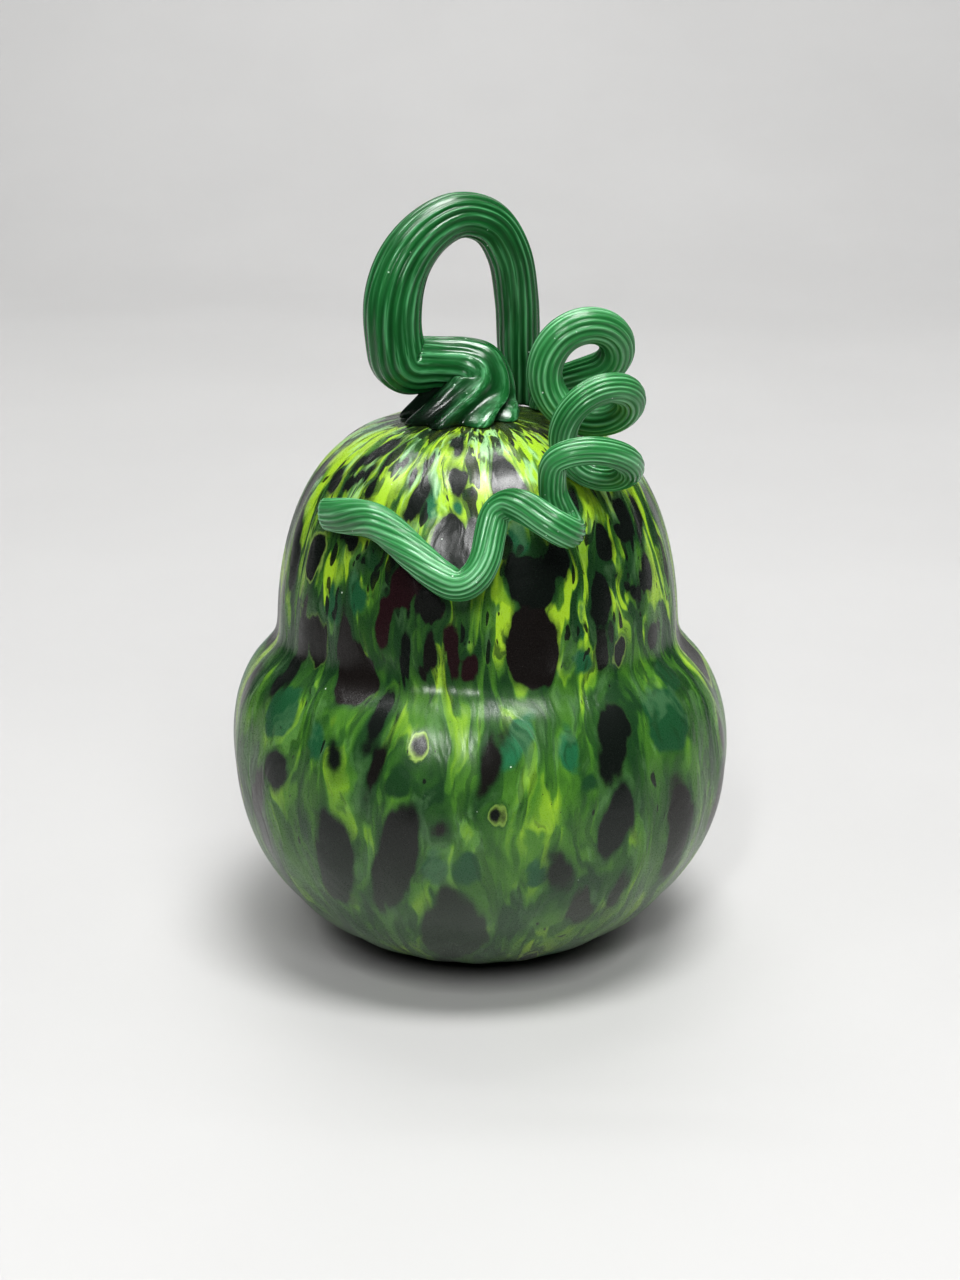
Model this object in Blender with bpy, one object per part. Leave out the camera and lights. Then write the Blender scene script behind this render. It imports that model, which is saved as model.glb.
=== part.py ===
"""Blown-glass gourd ornament: a hollow two-lobed body, a looped stem and a curled tendril.

Run with: blender --background --python part.py
The dimensions below are in millimetres and the meshes in metres, +Z up. The origin is the
centre of the flat foot, and -Y is the front.
"""

import math

import bmesh
import bpy
from mathutils import Vector

MM = 0.001

# Gap between touching pieces
GAP = 0.3

# Camera of the photograph, whose frame is 960 by 1280 pixels, in front of the part and looking down
FRAME_WIDTH = 960.0
FRAME_HEIGHT = 1280.0
FOCAL_PIXELS = 2000.0
CAMERA_PLACE = (0.65, -537.7, 247.35)
CAMERA_PITCH = math.radians(16.7)

# Blown body: its outline is drawn in squared ellipses from the belly down to the foot, from the
# belly up to the neck, and from the neck up to the mouth that the stem covers. A squareness of 2
# is a true ellipse, and more is boxier.
FOOT_RADIUS = 25.0
BASE_SQUARENESS = 2.4
BELLY_RADIUS = 70.0
BELLY_HEIGHT = 57.0
SHOULDER_SQUARENESS = 5.0
NECK_RADIUS = 56.0
NECK_HEIGHT = 89.0
CROWN_SQUARENESS = 3.5
MOUTH_RADIUS = 8.0
CROWN_HEIGHT = 150.2
ARC_STEPS = 200
WALL = 3.5
# The lower lobe leans a little to +X between the foot and SWAY_TOP
SWAY = 0.9
SWAY_TOP = 90.0

# Optic-mould ribs of the body: full height beyond RIB_FULL from the axis, none within RIB_NONE
RIB_COUNT = 20
RIB_HEIGHT = 0.6
RIB_NONE = 26.0
RIB_FULL = 40.0

# Facets of the body
OUTER_SIDES = 4 * RIB_COUNT
INNER_SIDES = OUTER_SIDES // 2
LOWER_RINGS = 14
UPPER_RINGS = 12
INNER_RINGS = 14

# Stem, from its root over the loop and back down: points of its centre line, each with the
# half thickness of the cane and the depth of its flutes
STEM = (
    (-4.2, -3.6, 145.5, 17.0, 3.0),
    (-3.8, -3.4, 149.8, 16.0, 2.8),
    (-1.2, -2.6, 153.4, 12.0, 2.0),
    (1.6, -1.8, 157.0, 9.0, 1.3),
    (1.2, -1.2, 160.8, 7.9, 0.9),
    (-4.0, -1.2, 163.6, 7.4, 0.8),
    (-11.8, -2.8, 164.2, 7.4, 0.8),
    (-19.3, -5.6, 165.2, 7.8, 0.8),
    (-22.1, -7.2, 171.6, 7.8, 0.8),
    (-22.2, -7.5, 182.0, 7.8, 0.8),
    (-19.3, -6.0, 191.5, 7.3, 0.8),
    (-13.0, -2.5, 199.2, 6.6, 0.7),
    (-5.0, 1.5, 203.0, 6.1, 0.7),
    (3.2, 6.0, 200.6, 6.1, 0.7),
    (8.4, 10.0, 192.2, 6.1, 0.7),
    (10.6, 13.5, 180.0, 6.1, 0.7),
    (11.4, 17.0, 167.0, 6.1, 0.7),
    (12.4, 21.0, 156.5, 6.3, 0.7),
    (13.2, 24.5, 146.0, 7.2, 0.9),
)
STEM_FLUTES = 14
STEM_SECTIONS = 56
STEM_TWIST = math.radians(70.0)

# Tendril: its foot on the crown, the coil and the wandering tail. The foot is points of the centre
# line with the half thickness and the depth of the flutes.
TENDRIL_FOOT = (
    (18.5, 9.5, 146.0, 5.2, 0.6),
    (19.0, 8.5, 152.0, 4.7, 0.5),
    (21.0, 5.0, 156.6, 4.6, 0.5),
)
# The tail's centre line as the photograph shows it: a pixel, how far in front of the camera that
# spot is, and the half thickness
TENDRIL_TAIL = (
    (553, 492, 497.0, 3.6),
    (559, 508, 497.5, 3.8),
    (566, 522, 497.0, 4.0),
    (570, 532, 492.5, 4.1),
    (562, 530, 488.0, 4.1),
    (545, 520, 488.5, 4.1),
    (526, 508, 491.0, 4.1),
    (509, 504, 494.5, 4.0),
    (496, 513, 496.0, 4.0),
    (490, 535, 495.5, 4.0),
    (485, 560, 494.5, 4.0),
    (474, 579, 494.0, 4.1),
    (459, 586, 494.5, 4.2),
    (440, 577, 496.0, 4.3),
    (418, 558, 498.0, 4.4),
    (396, 537, 500.5, 4.5),
    (380, 524, 502.5, 4.7),
    (362, 518, 506.5, 4.8),
    (342, 516, 511.5, 4.7),
    (324, 514, 517.5, 4.2),
)
TAIL_FLUTE_DEPTH = 0.5
# The coil's middle as x and height, its radius, the half thickness of its cane and how many degrees
# it leans to the front, at COIL_FIRST turns from the start and at every COIL_STEP turns after that
COIL_FIRST = -0.25
COIL_STEP = 0.75
COIL = (
    (27.0, 171.0, 10.0, 4.8, 17.0),
    (27.5, 163.5, 10.0, 4.8, 19.0),
    (31.0, 155.0, 9.0, 3.9, 32.0),
    (29.0, 144.5, 9.5, 3.6, 45.0),
    (26.0, 146.5, 9.0, 3.5, 40.0),
)
# The coil starts at this depth and comes forward by its pitch with each turn
COIL_DEPTH = -3.5
COIL_PITCH = 18.0
COIL_TURNS = (-0.12, 2.42)
COIL_POINTS = 54
COIL_FLUTE_DEPTH = 0.5
TENDRIL_FLUTES = 12
TENDRIL_SECTIONS = 104
TENDRIL_TWIST = math.radians(200.0)
# The tail's tip is pressed flat over its last FLAT_SHARE of the tendril's length
FLAT_SHARE = 0.10
FLAT_KEEP = 0.55

# Share of the spacing of two sections that the inside of a tight bend may use up
BEND_ROOM = 0.85

# Points that a smooth curve has between two of the points that it is drawn through
CURVE_STEPS = 12
# Edges that bend by more than this stay crisp in the shading
SHARP_ANGLE = math.radians(45.0)

# Colours as red, green and blue in linear light
BODY_GREEN = (0.13, 0.24, 0.06)
STEM_GREEN = (0.04, 0.14, 0.06)
TENDRIL_GREEN = (0.10, 0.26, 0.11)
SATIN_ROUGHNESS = 0.4


def clear_scene():
    for thing in list(bpy.data.objects):
        bpy.data.objects.remove(thing, do_unlink=True)


def satin_glass(name, colour):
    material = bpy.data.materials.new(name)
    material.use_nodes = True
    shader = material.node_tree.nodes["Principled BSDF"]
    shader.inputs["Base Color"].default_value = (*colour, 1.0)
    shader.inputs["Roughness"].default_value = SATIN_ROUGHNESS
    shader.inputs["Metallic"].default_value = 0.0
    material.diffuse_color = (*colour, 1.0)
    return material


def smooth_step(low, high, value):
    share = min(1.0, max(0.0, (value - low) / (high - low)))
    return share * share * (3.0 - 2.0 * share)


def blend(first, second, share):
    return tuple(a + (b - a) * share for a, b in zip(first, second))


def smooth_curve(stations):
    """Centripetal Catmull-Rom curve through stations that start with x, y and z."""
    def ghost(end, near):
        return tuple(2.0 * a - b for a, b in zip(end, near))

    def knot(first, second):
        return math.dist(first[:3], second[:3]) ** 0.5

    points = [ghost(stations[0], stations[1]), *stations, ghost(stations[-1], stations[-2])]
    curve = []
    for before, start, end, after in zip(points, points[1:], points[2:], points[3:]):
        k1 = knot(before, start)
        k2 = k1 + knot(start, end)
        k3 = k2 + knot(end, after)
        for step in range(CURVE_STEPS):
            k = k1 + (k2 - k1) * step / CURVE_STEPS
            a1 = blend(before, start, k / k1)
            a2 = blend(start, end, (k - k1) / (k2 - k1))
            a3 = blend(end, after, (k - k2) / (k3 - k2))
            b1 = blend(a1, a2, k / k2)
            b2 = blend(a2, a3, (k - k1) / (k3 - k1))
            curve.append(blend(b1, b2, (k - k1) / (k2 - k1)))
    curve.append(tuple(stations[-1]))
    return curve


def evenly_spaced(curve, count):
    """The curve at count places that are equally far apart along it."""
    reached = [0.0]
    for first, second in zip(curve, curve[1:]):
        reached.append(reached[-1] + math.dist(first[:3], second[:3]))
    places = []
    span = 0
    for index in range(count):
        wanted = reached[-1] * index / (count - 1)
        while span < len(curve) - 2 and reached[span + 1] < wanted:
            span += 1
        share = (wanted - reached[span]) / (reached[span + 1] - reached[span])
        places.append(blend(curve[span], curve[span + 1], share))
    return places


def carried_frames(centres):
    """Tangents, with a pair of cross directions that is carried along without twisting."""
    tangents = []
    for index in range(len(centres)):
        before = centres[max(index - 1, 0)]
        after = centres[min(index + 1, len(centres) - 1)]
        tangents.append((after - before).normalized())
    across = tangents[0].orthogonal().normalized()
    frames = []
    for tangent in tangents:
        across = (across - tangent * across.dot(tangent)).normalized()
        frames.append((tangent, across, tangent.cross(across)))
    return frames


def held_back(offset, centre, frames, centres, index):
    """Shortens an offset on the inside of a bend so that it stays clear of the next section."""
    for other in (index - 1, index + 1):
        if 0 <= other < len(centres):
            side = frames[other][0] * (other - index)
            reach = offset.dot(side)
            room = (centres[other] - centre).dot(side) * BEND_ROOM
            if reach > room:
                offset = offset * (room / reach)
    return offset


def flattened(offset, tangent, centre, keep):
    """Presses an offset along the direction that points away from the body's axis."""
    outward = Vector((centre.x, centre.y, 0.0)).normalized()
    outward = (outward - tangent * outward.dot(tangent)).normalized()
    return offset - outward * offset.dot(outward) * (1.0 - keep)


def fluted_cane(name, places, flutes, twist, keep_at):
    """A closed fluted rod along places that hold x, y, z, half thickness and flute depth."""
    centres = [Vector(place[:3]) for place in places]
    frames = carried_frames(centres)
    sides = 2 * flutes
    mesh = bmesh.new()
    rings = []
    for index, (*_, half_thickness, flute_depth) in enumerate(places):
        share = index / (len(places) - 1)
        tangent, across, upward = frames[index]
        ring = []
        for side in range(sides):
            angle = 2.0 * math.pi * side / sides + twist * share
            reach = half_thickness - (flute_depth if side % 2 else 0.0)
            offset = (across * math.cos(angle) + upward * math.sin(angle)) * reach
            offset = flattened(offset, tangent, centres[index], keep_at(share))
            offset = held_back(offset, centres[index], frames, centres, index)
            ring.append(mesh.verts.new((centres[index] + offset) * MM))
        rings.append(ring)
    for lower, upper in zip(rings, rings[1:]):
        bridge(mesh, lower, upper)
    mesh.faces.new(list(reversed(rings[0])))
    mesh.faces.new(rings[-1])
    return finished(name, mesh)


def bridge(mesh, lower, upper):
    """Faces between two rings, where the lower ring may have twice as many points."""
    ratio = len(lower) // len(upper)
    for index in range(len(upper)):
        following = (index + 1) % len(upper)
        if ratio == 1:
            mesh.faces.new((lower[index], lower[following], upper[following], upper[index]))
            continue
        near = [lower[(2 * index + offset) % len(lower)] for offset in range(3)]
        mesh.faces.new((near[0], near[1], upper[index]))
        mesh.faces.new((near[1], upper[following], upper[index]))
        mesh.faces.new((near[1], near[2], upper[following]))


def finished(name, mesh):
    """Turns a bmesh into an object with its faces pointing out and smooth shading."""
    bmesh.ops.recalc_face_normals(mesh, faces=mesh.faces)
    data = bpy.data.meshes.new(name)
    mesh.to_mesh(data)
    mesh.free()
    data.shade_smooth()
    data.set_sharp_from_angle(angle=SHARP_ANGLE)
    made = bpy.data.objects.new(name, data)
    bpy.context.collection.objects.link(made)
    return made


def squared_arc(wide, wide_height, end_radius, end_height, squareness):
    """Outline from a lobe's widest height to where it ends, as radius, height and 0."""
    rise = end_height - wide_height
    reach = rise / math.sqrt(1.0 - (end_radius / wide) ** squareness)
    last_angle = math.asin(rise / reach)
    arc = []
    for step in range(ARC_STEPS + 1):
        angle = last_angle * step / ARC_STEPS
        radius = wide * math.cos(angle) ** (2.0 / squareness)
        arc.append((radius, wide_height + reach * math.sin(angle), 0.0))
    return arc


def body_outline():
    """The outside as (radius, height), from the edge of the foot up to the mouth."""
    base = squared_arc(BELLY_RADIUS, BELLY_HEIGHT, FOOT_RADIUS, 0.0, BASE_SQUARENESS)
    shoulder = squared_arc(BELLY_RADIUS, BELLY_HEIGHT, NECK_RADIUS, NECK_HEIGHT, SHOULDER_SQUARENESS)
    crown = squared_arc(NECK_RADIUS, NECK_HEIGHT, MOUTH_RADIUS, CROWN_HEIGHT, CROWN_SQUARENESS)
    lower = evenly_spaced(base[::-1] + shoulder[1:], LOWER_RINGS + 1)
    upper = evenly_spaced(crown, UPPER_RINGS + 1)
    return [(radius, height) for radius, height, _ in lower + upper[1:]]


def moved_out(outline, distance):
    """The outline moved along its own normals, outward for a positive distance."""
    moved = []
    for index, (radius, height) in enumerate(outline):
        before = outline[max(index - 1, 0)]
        after = outline[min(index + 1, len(outline) - 1)]
        along = Vector((after[0] - before[0], after[1] - before[1])).normalized()
        moved.append((radius + along.y * distance, height - along.x * distance))
    return moved


def body_ring(mesh, radius, height, sides, rib):
    """A level ring round the body's swaying axis, with grooves as deep as rib between its ribs."""
    centre = SWAY * math.sin(math.pi * height / SWAY_TOP) ** 2 if height < SWAY_TOP else 0.0
    ring = []
    for side in range(sides):
        angle = 2.0 * math.pi * side / sides
        reach = radius - rib * 0.5 * (1.0 - math.cos(RIB_COUNT * angle))
        spot = Vector((centre + reach * math.cos(angle), reach * math.sin(angle), height))
        ring.append(mesh.verts.new(spot * MM))
    return ring


def outer_rings(mesh, outline):
    rings = []
    for radius, height in outline:
        rib = RIB_HEIGHT * smooth_step(RIB_NONE, RIB_FULL, radius)
        rings.append(body_ring(mesh, radius, height, OUTER_SIDES, rib))
    return rings


def inner_outline():
    """The inside as (radius, height), from under the mouth down to the floor of the hollow."""
    middle = evenly_spaced([(*place, 0.0) for place in body_outline()], INNER_RINGS)
    inside = moved_out([place[:2] for place in middle], -WALL)
    inside[-1] = (MOUTH_RADIUS, CROWN_HEIGHT - WALL)
    return list(reversed(inside))


def make_body():
    """The hollow body: outside, wall of the mouth, and inside, as one closed skin."""
    mesh = bmesh.new()
    outside = outer_rings(mesh, body_outline())
    inside = [body_ring(mesh, *place, INNER_SIDES, 0.0) for place in inner_outline()]
    rings = outside + inside
    for lower, upper in zip(rings, rings[1:]):
        bridge(mesh, lower, upper)
    mesh.faces.new(list(reversed(outside[0])))
    mesh.faces.new(inside[-1])
    return finished("glass_body", mesh)


def make_crown_cutter():
    """The body's outside without its mouth, one gap larger, that feet on the crown are cut by."""
    mesh = bmesh.new()
    rings = outer_rings(mesh, moved_out(body_outline(), GAP))
    for lower, upper in zip(rings, rings[1:]):
        bridge(mesh, lower, upper)
    mesh.faces.new(list(reversed(rings[0])))
    mesh.faces.new(rings[-1])
    cutter = finished("crown_cutter", mesh)
    cutter.hide_render = True
    cutter.display_type = "WIRE"
    return cutter


def cut_to_crown(made, cutter):
    cut = made.modifiers.new("crown", "BOOLEAN")
    cut.operation = "DIFFERENCE"
    cut.solver = "EXACT"
    cut.object = cutter


def make_stem(cutter):
    places = evenly_spaced(smooth_curve(STEM), STEM_SECTIONS)
    stem = fluted_cane("stem", places, STEM_FLUTES, STEM_TWIST, lambda share: 1.0)
    cut_to_crown(stem, cutter)
    return stem


def coil_station(turn):
    """The coil's middle, radius, half thickness and lean at a count of turns from its start."""
    reach = (turn - COIL_FIRST) / COIL_STEP
    start = min(max(int(math.floor(reach)), 0), len(COIL) - 2)
    share = reach - start
    last = len(COIL) - 1
    values = []
    for number in range(len(COIL[0])):
        first, second = COIL[start][number], COIL[start + 1][number]
        slope_in = (second - COIL[max(start - 1, 0)][number]) / 2.0
        slope_out = (COIL[min(start + 2, last)][number] - first) / 2.0
        square, cube = share * share, share * share * share
        values.append(
            first * (2.0 * cube - 3.0 * square + 1.0)
            + slope_in * (cube - 2.0 * square + share)
            + second * (3.0 * square - 2.0 * cube)
            + slope_out * (cube - square)
        )
    return values


def coil_points():
    """The curled stretch: it winds right, up, left and down while its centre comes forward."""
    points = []
    for index in range(COIL_POINTS):
        turn = COIL_TURNS[0] + (COIL_TURNS[1] - COIL_TURNS[0]) * index / (COIL_POINTS - 1)
        x, z, radius, thickness, lean = coil_station(turn)
        y = COIL_DEPTH - COIL_PITCH * (turn - COIL_FIRST)
        leaning_up = Vector((0.0, -math.sin(math.radians(lean)), math.cos(math.radians(lean))))
        angle = 2.0 * math.pi * turn
        spot = Vector((x + radius * math.cos(angle), y, z))
        spot += leaning_up * radius * math.sin(angle)
        points.append((*spot, thickness, COIL_FLUTE_DEPTH))
    return points


def spot_seen_at(u, v, reach):
    """The spot that shows at a pixel of the photograph, this far in front of the camera."""
    across = (u - FRAME_WIDTH / 2.0) / FOCAL_PIXELS
    up = (FRAME_HEIGHT / 2.0 - v) / FOCAL_PIXELS
    cos, sin = math.cos(CAMERA_PITCH), math.sin(CAMERA_PITCH)
    x, y, z = CAMERA_PLACE
    return (x + across * reach, y + (cos + up * sin) * reach, z + (up * cos - sin) * reach)


def tail_points():
    return [(*spot_seen_at(u, v, reach), thickness, TAIL_FLUTE_DEPTH)
            for u, v, reach, thickness in TENDRIL_TAIL]


def make_tendril(cutter):
    stations = [*TENDRIL_FOOT, *coil_points(), *tail_points()]
    places = evenly_spaced(smooth_curve(stations), TENDRIL_SECTIONS)

    def kept_at(share):
        return 1.0 - (1.0 - FLAT_KEEP) * smooth_step(1.0 - FLAT_SHARE, 1.0, share)

    tendril = fluted_cane("tendril", places, TENDRIL_FLUTES, TENDRIL_TWIST, kept_at)
    cut_to_crown(tendril, cutter)
    return tendril


def main():
    clear_scene()
    cutter = make_crown_cutter()
    make_body().data.materials.append(satin_glass("mottled_glass", BODY_GREEN))
    make_stem(cutter).data.materials.append(satin_glass("stem_glass", STEM_GREEN))
    make_tendril(cutter).data.materials.append(satin_glass("tendril_glass", TENDRIL_GREEN))


main()
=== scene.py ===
"""Looks of the blown-glass gourd: satin glass streaked with colour, and two fluted glass canes.

Tables and bare sizes are in millimetres, properties and meshes in metres, +Z up. -Y is the front.
"""

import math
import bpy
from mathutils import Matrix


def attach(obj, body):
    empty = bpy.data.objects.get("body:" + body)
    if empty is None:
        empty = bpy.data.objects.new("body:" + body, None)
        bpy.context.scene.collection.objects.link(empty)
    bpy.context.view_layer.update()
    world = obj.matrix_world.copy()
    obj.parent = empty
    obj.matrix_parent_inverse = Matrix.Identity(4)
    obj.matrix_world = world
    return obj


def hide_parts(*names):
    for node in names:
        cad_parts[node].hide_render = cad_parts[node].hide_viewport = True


bl_info = {
    "name": "Blown Glass Gourd",
    "version": (1, 0, 0),
    "blender": (4, 5, 0),
    "location": "View3D > Sidebar > Gourd",
    "description": "Builds the mottled satin glass, the fluted stem and the curled tendril of a glass gourd",
    "category": "Object",
}

import bmesh
import bpy
import numpy as np
from bpy.props import FloatProperty, FloatVectorProperty, IntProperty, PointerProperty
from mathutils import Vector

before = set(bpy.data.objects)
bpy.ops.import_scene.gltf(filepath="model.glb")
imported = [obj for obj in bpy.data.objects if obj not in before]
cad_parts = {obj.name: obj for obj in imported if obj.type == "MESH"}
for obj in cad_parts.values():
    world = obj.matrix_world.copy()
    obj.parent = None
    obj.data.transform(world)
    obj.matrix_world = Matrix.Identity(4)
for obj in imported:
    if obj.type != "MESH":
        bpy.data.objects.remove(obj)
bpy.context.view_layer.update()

MM = 0.001
# Points of a mesh that are nearer to each other than this are one point, in metres
MERGE_DISTANCE = 0.000002
ROOT = "root"

# Camera of the photograph, whose frame is 960 by 1280 pixels
FRAME_WIDTH = 960.0
FRAME_HEIGHT = 1280.0
FOCAL_PIXELS = 2000.0
CAMERA_PLACE = (0.65, -537.7, 247.35)
CAMERA_PITCH = math.radians(16.7)
# A pixel near the middle of the body
MIDDLE_PIXEL = (478.0, 660.0)
SENSOR_HEIGHT = 36.0
PICTURE_GAMMA = 0.88
# How far in front of the camera the body is looked for, and how far a pixel at its edge may be moved
# towards its middle to meet it, as a share
SIGHT_START = 400.0
SIGHT_END = 620.0
INWARD_MOST = 0.3
INWARD_STEP = 0.005

# Gap that the canes keep to the crown they are fused to
GAP = 0.3

# Blown body: its outline is drawn in squared ellipses from the belly down to the foot, from the
# belly up to the neck, and from the neck up to the mouth that the stem covers. A squareness of 2
# is a true ellipse, and more is boxier.
FOOT_RADIUS = 25.0
BASE_SQUARENESS = 2.4
BELLY_RADIUS = 70.0
BELLY_HEIGHT = 57.0
SHOULDER_SQUARENESS = 5.0
NECK_RADIUS = 56.0
NECK_HEIGHT = 89.0
CROWN_SQUARENESS = 3.5
MOUTH_RADIUS = 8.0
CROWN_HEIGHT = 150.2
ARC_STEPS = 200
# Below this height, the lower lobe leans out to +X by this much at its middle
SWAY = 0.9
SWAY_TOP = 90.0
# Distances from the axis at which the ribs begin and from which they are full
RIB_NONE = 12.0
RIB_FULL = 30.0
# The neck's crease is melted round over this length of the outline
NECK_CORE = 4.0
NECK_REACH = 10.0
NECK_BLUR = 2.8
OUTLINE_STEP = 0.25

# Mesh of the body: points round it and rings on its outside and inside
BODY_SIDES = 320
OUTER_RINGS = 250
INNER_RINGS = 28

# Stem: points of its centre line with the half thickness and the depth of its flutes
STEM = (
    (-4.2, -3.6, 145.5, 18.4, 4.8),
    (-4.4, -3.4, 149.8, 17.2, 4.4),
    (-3.6, -3.0, 153.4, 15.0, 3.6),
    (-1.2, -2.2, 157.0, 12.2, 2.6),
    (0.6, -1.4, 160.8, 9.8, 1.6),
    (-4.0, -1.2, 163.6, 7.8, 0.7),
    (-11.8, -2.8, 164.2, 7.4, 0.55),
    (-20.0, -5.8, 164.9, 8.2, 0.5),
    (-22.1, -7.2, 171.6, 7.8, 0.5),
    (-22.2, -7.5, 182.0, 7.8, 0.5),
    (-19.3, -6.0, 191.5, 7.3, 0.5),
    (-13.0, -2.5, 199.2, 6.6, 0.45),
    (-5.0, 1.5, 203.0, 6.1, 0.45),
    (3.2, 6.0, 200.6, 6.1, 0.45),
    (8.4, 10.0, 192.2, 6.1, 0.45),
    (10.6, 13.5, 180.0, 6.1, 0.45),
    (11.4, 17.0, 167.0, 6.1, 0.45),
    (12.4, 21.0, 156.5, 6.3, 0.5),
    (13.2, 24.5, 146.0, 7.2, 0.9),
)
STEM_SECTIONS = 420
STEM_SIDES = 140
STEM_ROOT_SHARE = 0.12
# Sections at each of the stem's ends that are set on the crown
STEM_SEATED = 40

# Tendril: its foot on the crown, the coil and the wandering tail. The foot is points of the centre
# line with the half thickness and the depth of the flutes.
TENDRIL_FOOT = (
    (18.5, 9.5, 146.0, 5.2, 0.6),
    (19.0, 8.5, 152.0, 4.7, 0.5),
    (21.0, 5.0, 156.6, 4.6, 0.5),
)
# The tail's centre line as the photograph shows it: a pixel, how far in front of the camera that
# spot is, and the half thickness
TENDRIL_TAIL = (
    (553, 492, 497.0, 3.6),
    (559, 508, 497.5, 3.8),
    (566, 522, 497.0, 4.0),
    (570, 532, 492.5, 4.1),
    (562, 530, 488.0, 4.1),
    (545, 520, 488.5, 4.1),
    (526, 508, 491.0, 4.1),
    (509, 504, 494.5, 4.0),
    (496, 513, 496.0, 4.0),
    (490, 535, 495.5, 4.0),
    (485, 560, 494.5, 4.0),
    (474, 579, 494.0, 4.1),
    (459, 586, 494.5, 4.2),
    (440, 577, 496.0, 4.3),
    (418, 558, 498.0, 4.4),
    (396, 537, 500.5, 4.5),
    (380, 524, 502.5, 4.7),
    (362, 518, 506.5, 4.8),
    (342, 516, 511.5, 4.7),
    (324, 514, 517.5, 4.2),
)
TAIL_FLUTE_DEPTH = 0.35
# The coil's middle as x and height, its radius, the half thickness of its cane and how many degrees
# it leans to the front, at COIL_FIRST turns from the start and at every COIL_STEP turns after that
COIL_FIRST = -0.25
COIL_STEP = 0.75
COIL = (
    (27.0, 171.0, 10.0, 4.8, 17.0),
    (27.5, 163.5, 10.0, 4.8, 19.0),
    (31.0, 155.0, 9.0, 3.9, 32.0),
    (29.0, 144.5, 9.5, 3.6, 45.0),
    (26.0, 146.5, 9.0, 3.5, 40.0),
)
# The coil starts at this depth and comes forward by its pitch with each turn
COIL_DEPTH = -3.5
COIL_PITCH = 18.0
COIL_TURNS = (-0.12, 2.42)
COIL_POINTS = 54
COIL_FLUTE_DEPTH = 0.38
TENDRIL_SECTIONS = 740
TENDRIL_SIDES = 128
TENDRIL_ROOT_SHARE = 0.02
TENDRIL_SEATED = 30
# The tip is pinched flat over this share of the tendril, to this share of its thickness
FLAT_SHARE = 0.10
FLAT_KEEP = 0.55
TIP_TWIST_START = 0.84

CURVE_STEPS = 12
# Share of the room between two sections that they may take up on the inside of a bend
BEND_ROOM = 0.85
# Least reach that is divided by
LEAST_REACH = 0.00025
# Above 1, the ridges are broad and the grooves between them narrow
GROOVE_SHARPNESS = 1.2
# A foot that meets the crown rounds in over this height
TOE_HEIGHT = 1.6
TOE_INSET = 0.7
# The cut tip of a cane rounds in over this length
TIP_LENGTH = 0.7
TIP_ROUNDING = 0.96
# A cane's rings are evened along its run this many times, and less so over its end sections
EVEN_ROUNDS = 14
EVEN_ENDS = 12
# Where, along X, the stem's root turns dark, with dark glass and painted shade under the elbow, and how dark
# its left side and grooves are; the grooves' darkness is painted shade
SMOKE_AND_SHADE_START = 1.0
SMOKE_AND_SHADE_FULL = -12.0
SMOKE_AND_SHADE_LEFT = 0.95
GROOVE_SHADE = 0.9
SMOKE_AND_SHADE_MOST = 0.97

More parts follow.
